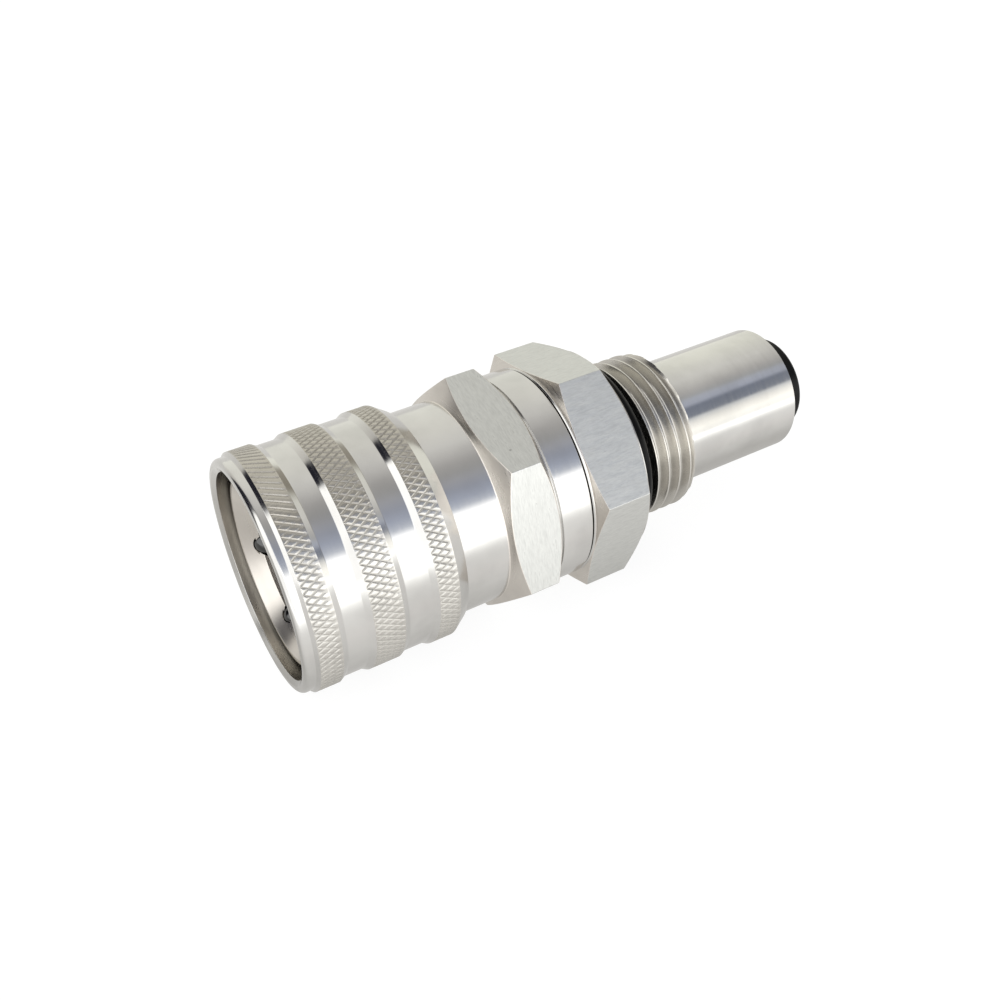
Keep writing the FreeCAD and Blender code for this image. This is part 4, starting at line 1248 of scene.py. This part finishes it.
def radiance(drawing, share, stops, low=-180, high=180):
    """A colour ramp from places between low and high and their radiance."""
    wire = drawing.node("ShaderNodeValToRGB", {"Fac": share}, "Color")
    elements = wire.socket.node.color_ramp.elements
    elements.remove(elements[-1])
    for number, (place, *colour) in enumerate(stops):
        position = (place - low) / (high - low)
        element = elements.new(position) if number else elements[0]
        element.position = position
        element.color = rgba(toned(colour, 1 / BRIGHTEST))
    return wire


def share_round(up, ahead):
    """The angle of a direction as a share of a whole turn, from -180 degrees."""
    return up.maths("ARCTAN2", ahead) * (0.5 / math.pi) + 0.5


def make_world():
    """A soft studio: a wide front lamp, a dark gap above it, cream walls and a black board."""
    world = bpy.data.worlds.new("studio")
    world.use_nodes = True
    world.node_tree.nodes.clear()
    drawing = Drawing(world.node_tree)
    direction = drawing.node("ShaderNodeTexCoord", output="Generated")
    along, across, up = drawing.split(direction)
    round_axis = share_round(up, across * -1)
    slant = (along - SLANT_FROM) * (SLANT / 360)
    middle = radiance(drawing, round_axis + slant, STUDIO)
    tail = radiance(drawing, round_axis, TAIL_SIDE)
    far = radiance(drawing, round_axis, FAR_SIDE)
    mouth = radiance(drawing, share_round(across, along * -1), MOUTH_SIDE)
    behind = drawing.mix(drawing.step(along, *TAIL_TURN), middle, tail)
    slopes = drawing.step(along, *FAR_TURN) * drawing.step(along, *FAR_END)
    behind = drawing.mix(slopes, behind, far)
    room = {
        "Color": drawing.mix(drawing.step(along, *MOUTH_TURN), behind, mouth),
        "Strength": BRIGHTEST,
    }
    shades = {
        "Fac": drawing.node("ShaderNodeLightPath", output="Is Camera Ray"),
        1: drawing.node("ShaderNodeBackground", room),
        2: drawing.node("ShaderNodeBackground", {"Color": WHITE, "Strength": 1.0}),
    }
    shown = drawing.node("ShaderNodeMixShader", shades)
    drawing.node("ShaderNodeOutputWorld", {"Surface": shown})
    bpy.context.scene.world = world


def floor_in_metal(drawing, place):
    """The floor as the steel mirrors it: pale, with a painted shadow under the connector and painted
    light by the lamp.
    """
    along, across = drawing.split(place)[:2]
    low, high = FLOOR_MIRRORED[0][0], FLOOR_MIRRORED[-1][0]
    share = (across * (-1 / MM) - low) * (1 / (high - low))
    glow = radiance(drawing, share, FLOOR_MIRRORED, low, high)
    bearing = across.maths("ARCTAN2", along * -1) * (180 / math.pi)
    start, full, full_end, end = BOARD_EDGES
    board = drawing.step(bearing, start, full) * drawing.step(bearing, end, full_end)
    away = drawing.step(distance_over(across, along), 0.2, 0.3)
    return drawing.mix(board * away, glow, BOARD)


def make_floor(stage):
    """A white floor that the connector lies on, bright enough to keep only a faint shadow."""
    mesh = bmesh.new()
    bmesh.ops.create_grid(mesh, x_segments=1, y_segments=1, size=stage.floor_size / 2)
    data = to_mesh("floor", mesh, [])
    data.transform(Matrix.Translation((0, 0, CAD_BOX[0][2])))
    new_object("floor", data)
    material, drawing, place = new_material("floor_white")
    path = drawing.node("ShaderNodeLightPath", output="Is Camera Ray")
    mirrored = path.output("Is Glossy Ray").most(path.output("Is Transmission Ray"))
    matt = drawing.node("ShaderNodeBsdfDiffuse", {"Color": FLOOR_MATT})
    shaded = drawing.node("ShaderNodeBsdfDiffuse", {"Color": FLOOR_SHADED})
    white = drawing.node(
        "ShaderNodeEmission", {"Color": WHITE, "Strength": stage.floor_white}
    )
    seen = drawing.node("ShaderNodeAddShader", {0: shaded, 1: white})
    glow = {"Color": floor_in_metal(drawing, place), "Strength": BRIGHTEST}
    in_metal = drawing.node("ShaderNodeEmission", glow)
    unseen = drawing.node("ShaderNodeMixShader", {"Fac": mirrored, 1: matt, 2: in_metal})
    both = drawing.node("ShaderNodeMixShader", {"Fac": path, 1: unseen, 2: seen})
    drawing.node("ShaderNodeOutputMaterial", {"Surface": both})
    data.materials.append(material)


# Operators


class CONNECTOR_OT_stage(bpy.types.Operator):
    """Set the camera, the studio light and the floor"""

    bl_idname = "connector.stage"
    bl_label = "Stage"

    def execute(self, context):
        stage = context.scene.connector_stage
        make_camera(stage)
        make_world()
        make_floor(stage)
        context.scene.view_settings.view_transform = "Standard"
        return {"FINISHED"}


class CONNECTOR_OT_locking_sleeve(bpy.types.Operator):
    """Turn the locking sleeve and roll its knurled bands"""

    bl_idname = "connector.locking_sleeve"
    bl_label = "Locking Sleeve"

    def execute(self, context):
        make_locking_sleeve(context.scene.connector_knurl)
        return {"FINISHED"}


class CONNECTOR_OT_socket_body(bpy.types.Operator):
    """Turn the socket body, mill its hexagon and drill its ball holes"""

    bl_idname = "connector.socket_body"
    bl_label = "Socket Body"

    def execute(self, context):
        make_socket_body()
        return {"FINISHED"}


class CONNECTOR_OT_rear_adapter(bpy.types.Operator):
    """Turn the rear adapter, mill its hexagon and cut its pipe thread"""

    bl_idname = "connector.rear_adapter"
    bl_label = "Rear Adapter"

    def execute(self, context):
        make_rear_adapter(context.scene.connector_thread)
        return {"FINISHED"}


class CONNECTOR_OT_lock_parts(bpy.types.Operator):
    """Finish the locking balls, the retaining ring and both springs"""

    bl_idname = "connector.lock_parts"
    bl_label = "Balls, Ring and Springs"

    def execute(self, context):
        dress("steel_ball_shaded", *[f"locking_ball_{number}" for number in range(1, BALL_COUNT + 1)])
        dress("steel_spring", "sleeve_spring", "valve_spring", "sleeve_retaining_ring")
        return {"FINISHED"}


class CONNECTOR_OT_valve(bpy.types.Operator):
    """Finish the shut-off valve and its guide"""

    bl_idname = "connector.valve"
    bl_label = "Valve"

    def execute(self, context):
        dress("steel_valve", "valve_poppet", "valve_guide")
        return {"FINISHED"}


class CONNECTOR_OT_seals(bpy.types.Operator):
    """Finish the rubber seals"""

    bl_idname = "connector.seals"
    bl_label = "Seals"

    def execute(self, context):
        make_port_seal()
        dress("rubber_seal", "plug_seal", "valve_seal", "adapter_seal")
        dress("rubber_seal", "tube_seal_inner", "tube_seal_outer")
        return {"FINISHED"}


class CONNECTOR_OT_line_grip(bpy.types.Operator):
    """Finish the push-in end: collet, grip ring, retainer and washers"""

    bl_idname = "connector.line_grip"
    bl_label = "Push-in End"

    def execute(self, context):
        dress("plastic_collet", "collet")
        dress("plastic_ring", "seal_spacer", "seal_backup_ring")
        dress("steel_tube", "collet_retainer")
        dress("steel_spring", "grip_ring")
        return {"FINISHED"}


class CONNECTOR_PT_pieces(bpy.types.Panel):
    """Lists the connector's sizes, finishes and pieces"""

    bl_idname = "CONNECTOR_PT_pieces"
    bl_label = "Beer Line Connector"
    bl_space_type = "VIEW_3D"
    bl_region_type = "UI"
    bl_category = "Connector"

    def draw(self, context):
        layout = self.layout
        for name in SETTINGS:
            settings = getattr(context.scene, name)
            box = layout.box()
            box.label(text=settings.bl_rna.name)
            for prop in settings.bl_rna.properties:
                if prop.identifier not in {"rna_type", "name"}:
                    box.prop(settings, prop.identifier)
        for operator in OPERATORS:
            layout.operator(operator.bl_idname)


SETTINGS = {
    "connector_knurl": KnurlSettings,
    "connector_thread": ThreadSettings,
    "connector_finish": FinishSettings,
    "connector_stage": StageSettings,
}
OPERATORS = (
    CONNECTOR_OT_stage,
    CONNECTOR_OT_locking_sleeve,
    CONNECTOR_OT_socket_body,
    CONNECTOR_OT_rear_adapter,
    CONNECTOR_OT_lock_parts,
    CONNECTOR_OT_valve,
    CONNECTOR_OT_seals,
    CONNECTOR_OT_line_grip,
)


def register():
    for item in (*SETTINGS.values(), *OPERATORS, CONNECTOR_PT_pieces):
        bpy.utils.register_class(item)
    for name, group in SETTINGS.items():
        setattr(bpy.types.Scene, name, PointerProperty(type=group))


def unregister():
    for name in SETTINGS:
        delattr(bpy.types.Scene, name)
    for item in reversed((*SETTINGS.values(), *OPERATORS, CONNECTOR_PT_pieces)):
        bpy.utils.unregister_class(item)


def main():
    register()
    bpy.ops.connector.stage()
    bpy.ops.connector.locking_sleeve()
    bpy.ops.connector.socket_body()
    bpy.ops.connector.rear_adapter()
    bpy.ops.connector.lock_parts()
    bpy.ops.connector.valve()
    bpy.ops.connector.seals()
    bpy.ops.connector.line_grip()


if __name__ == "__main__":
    main()
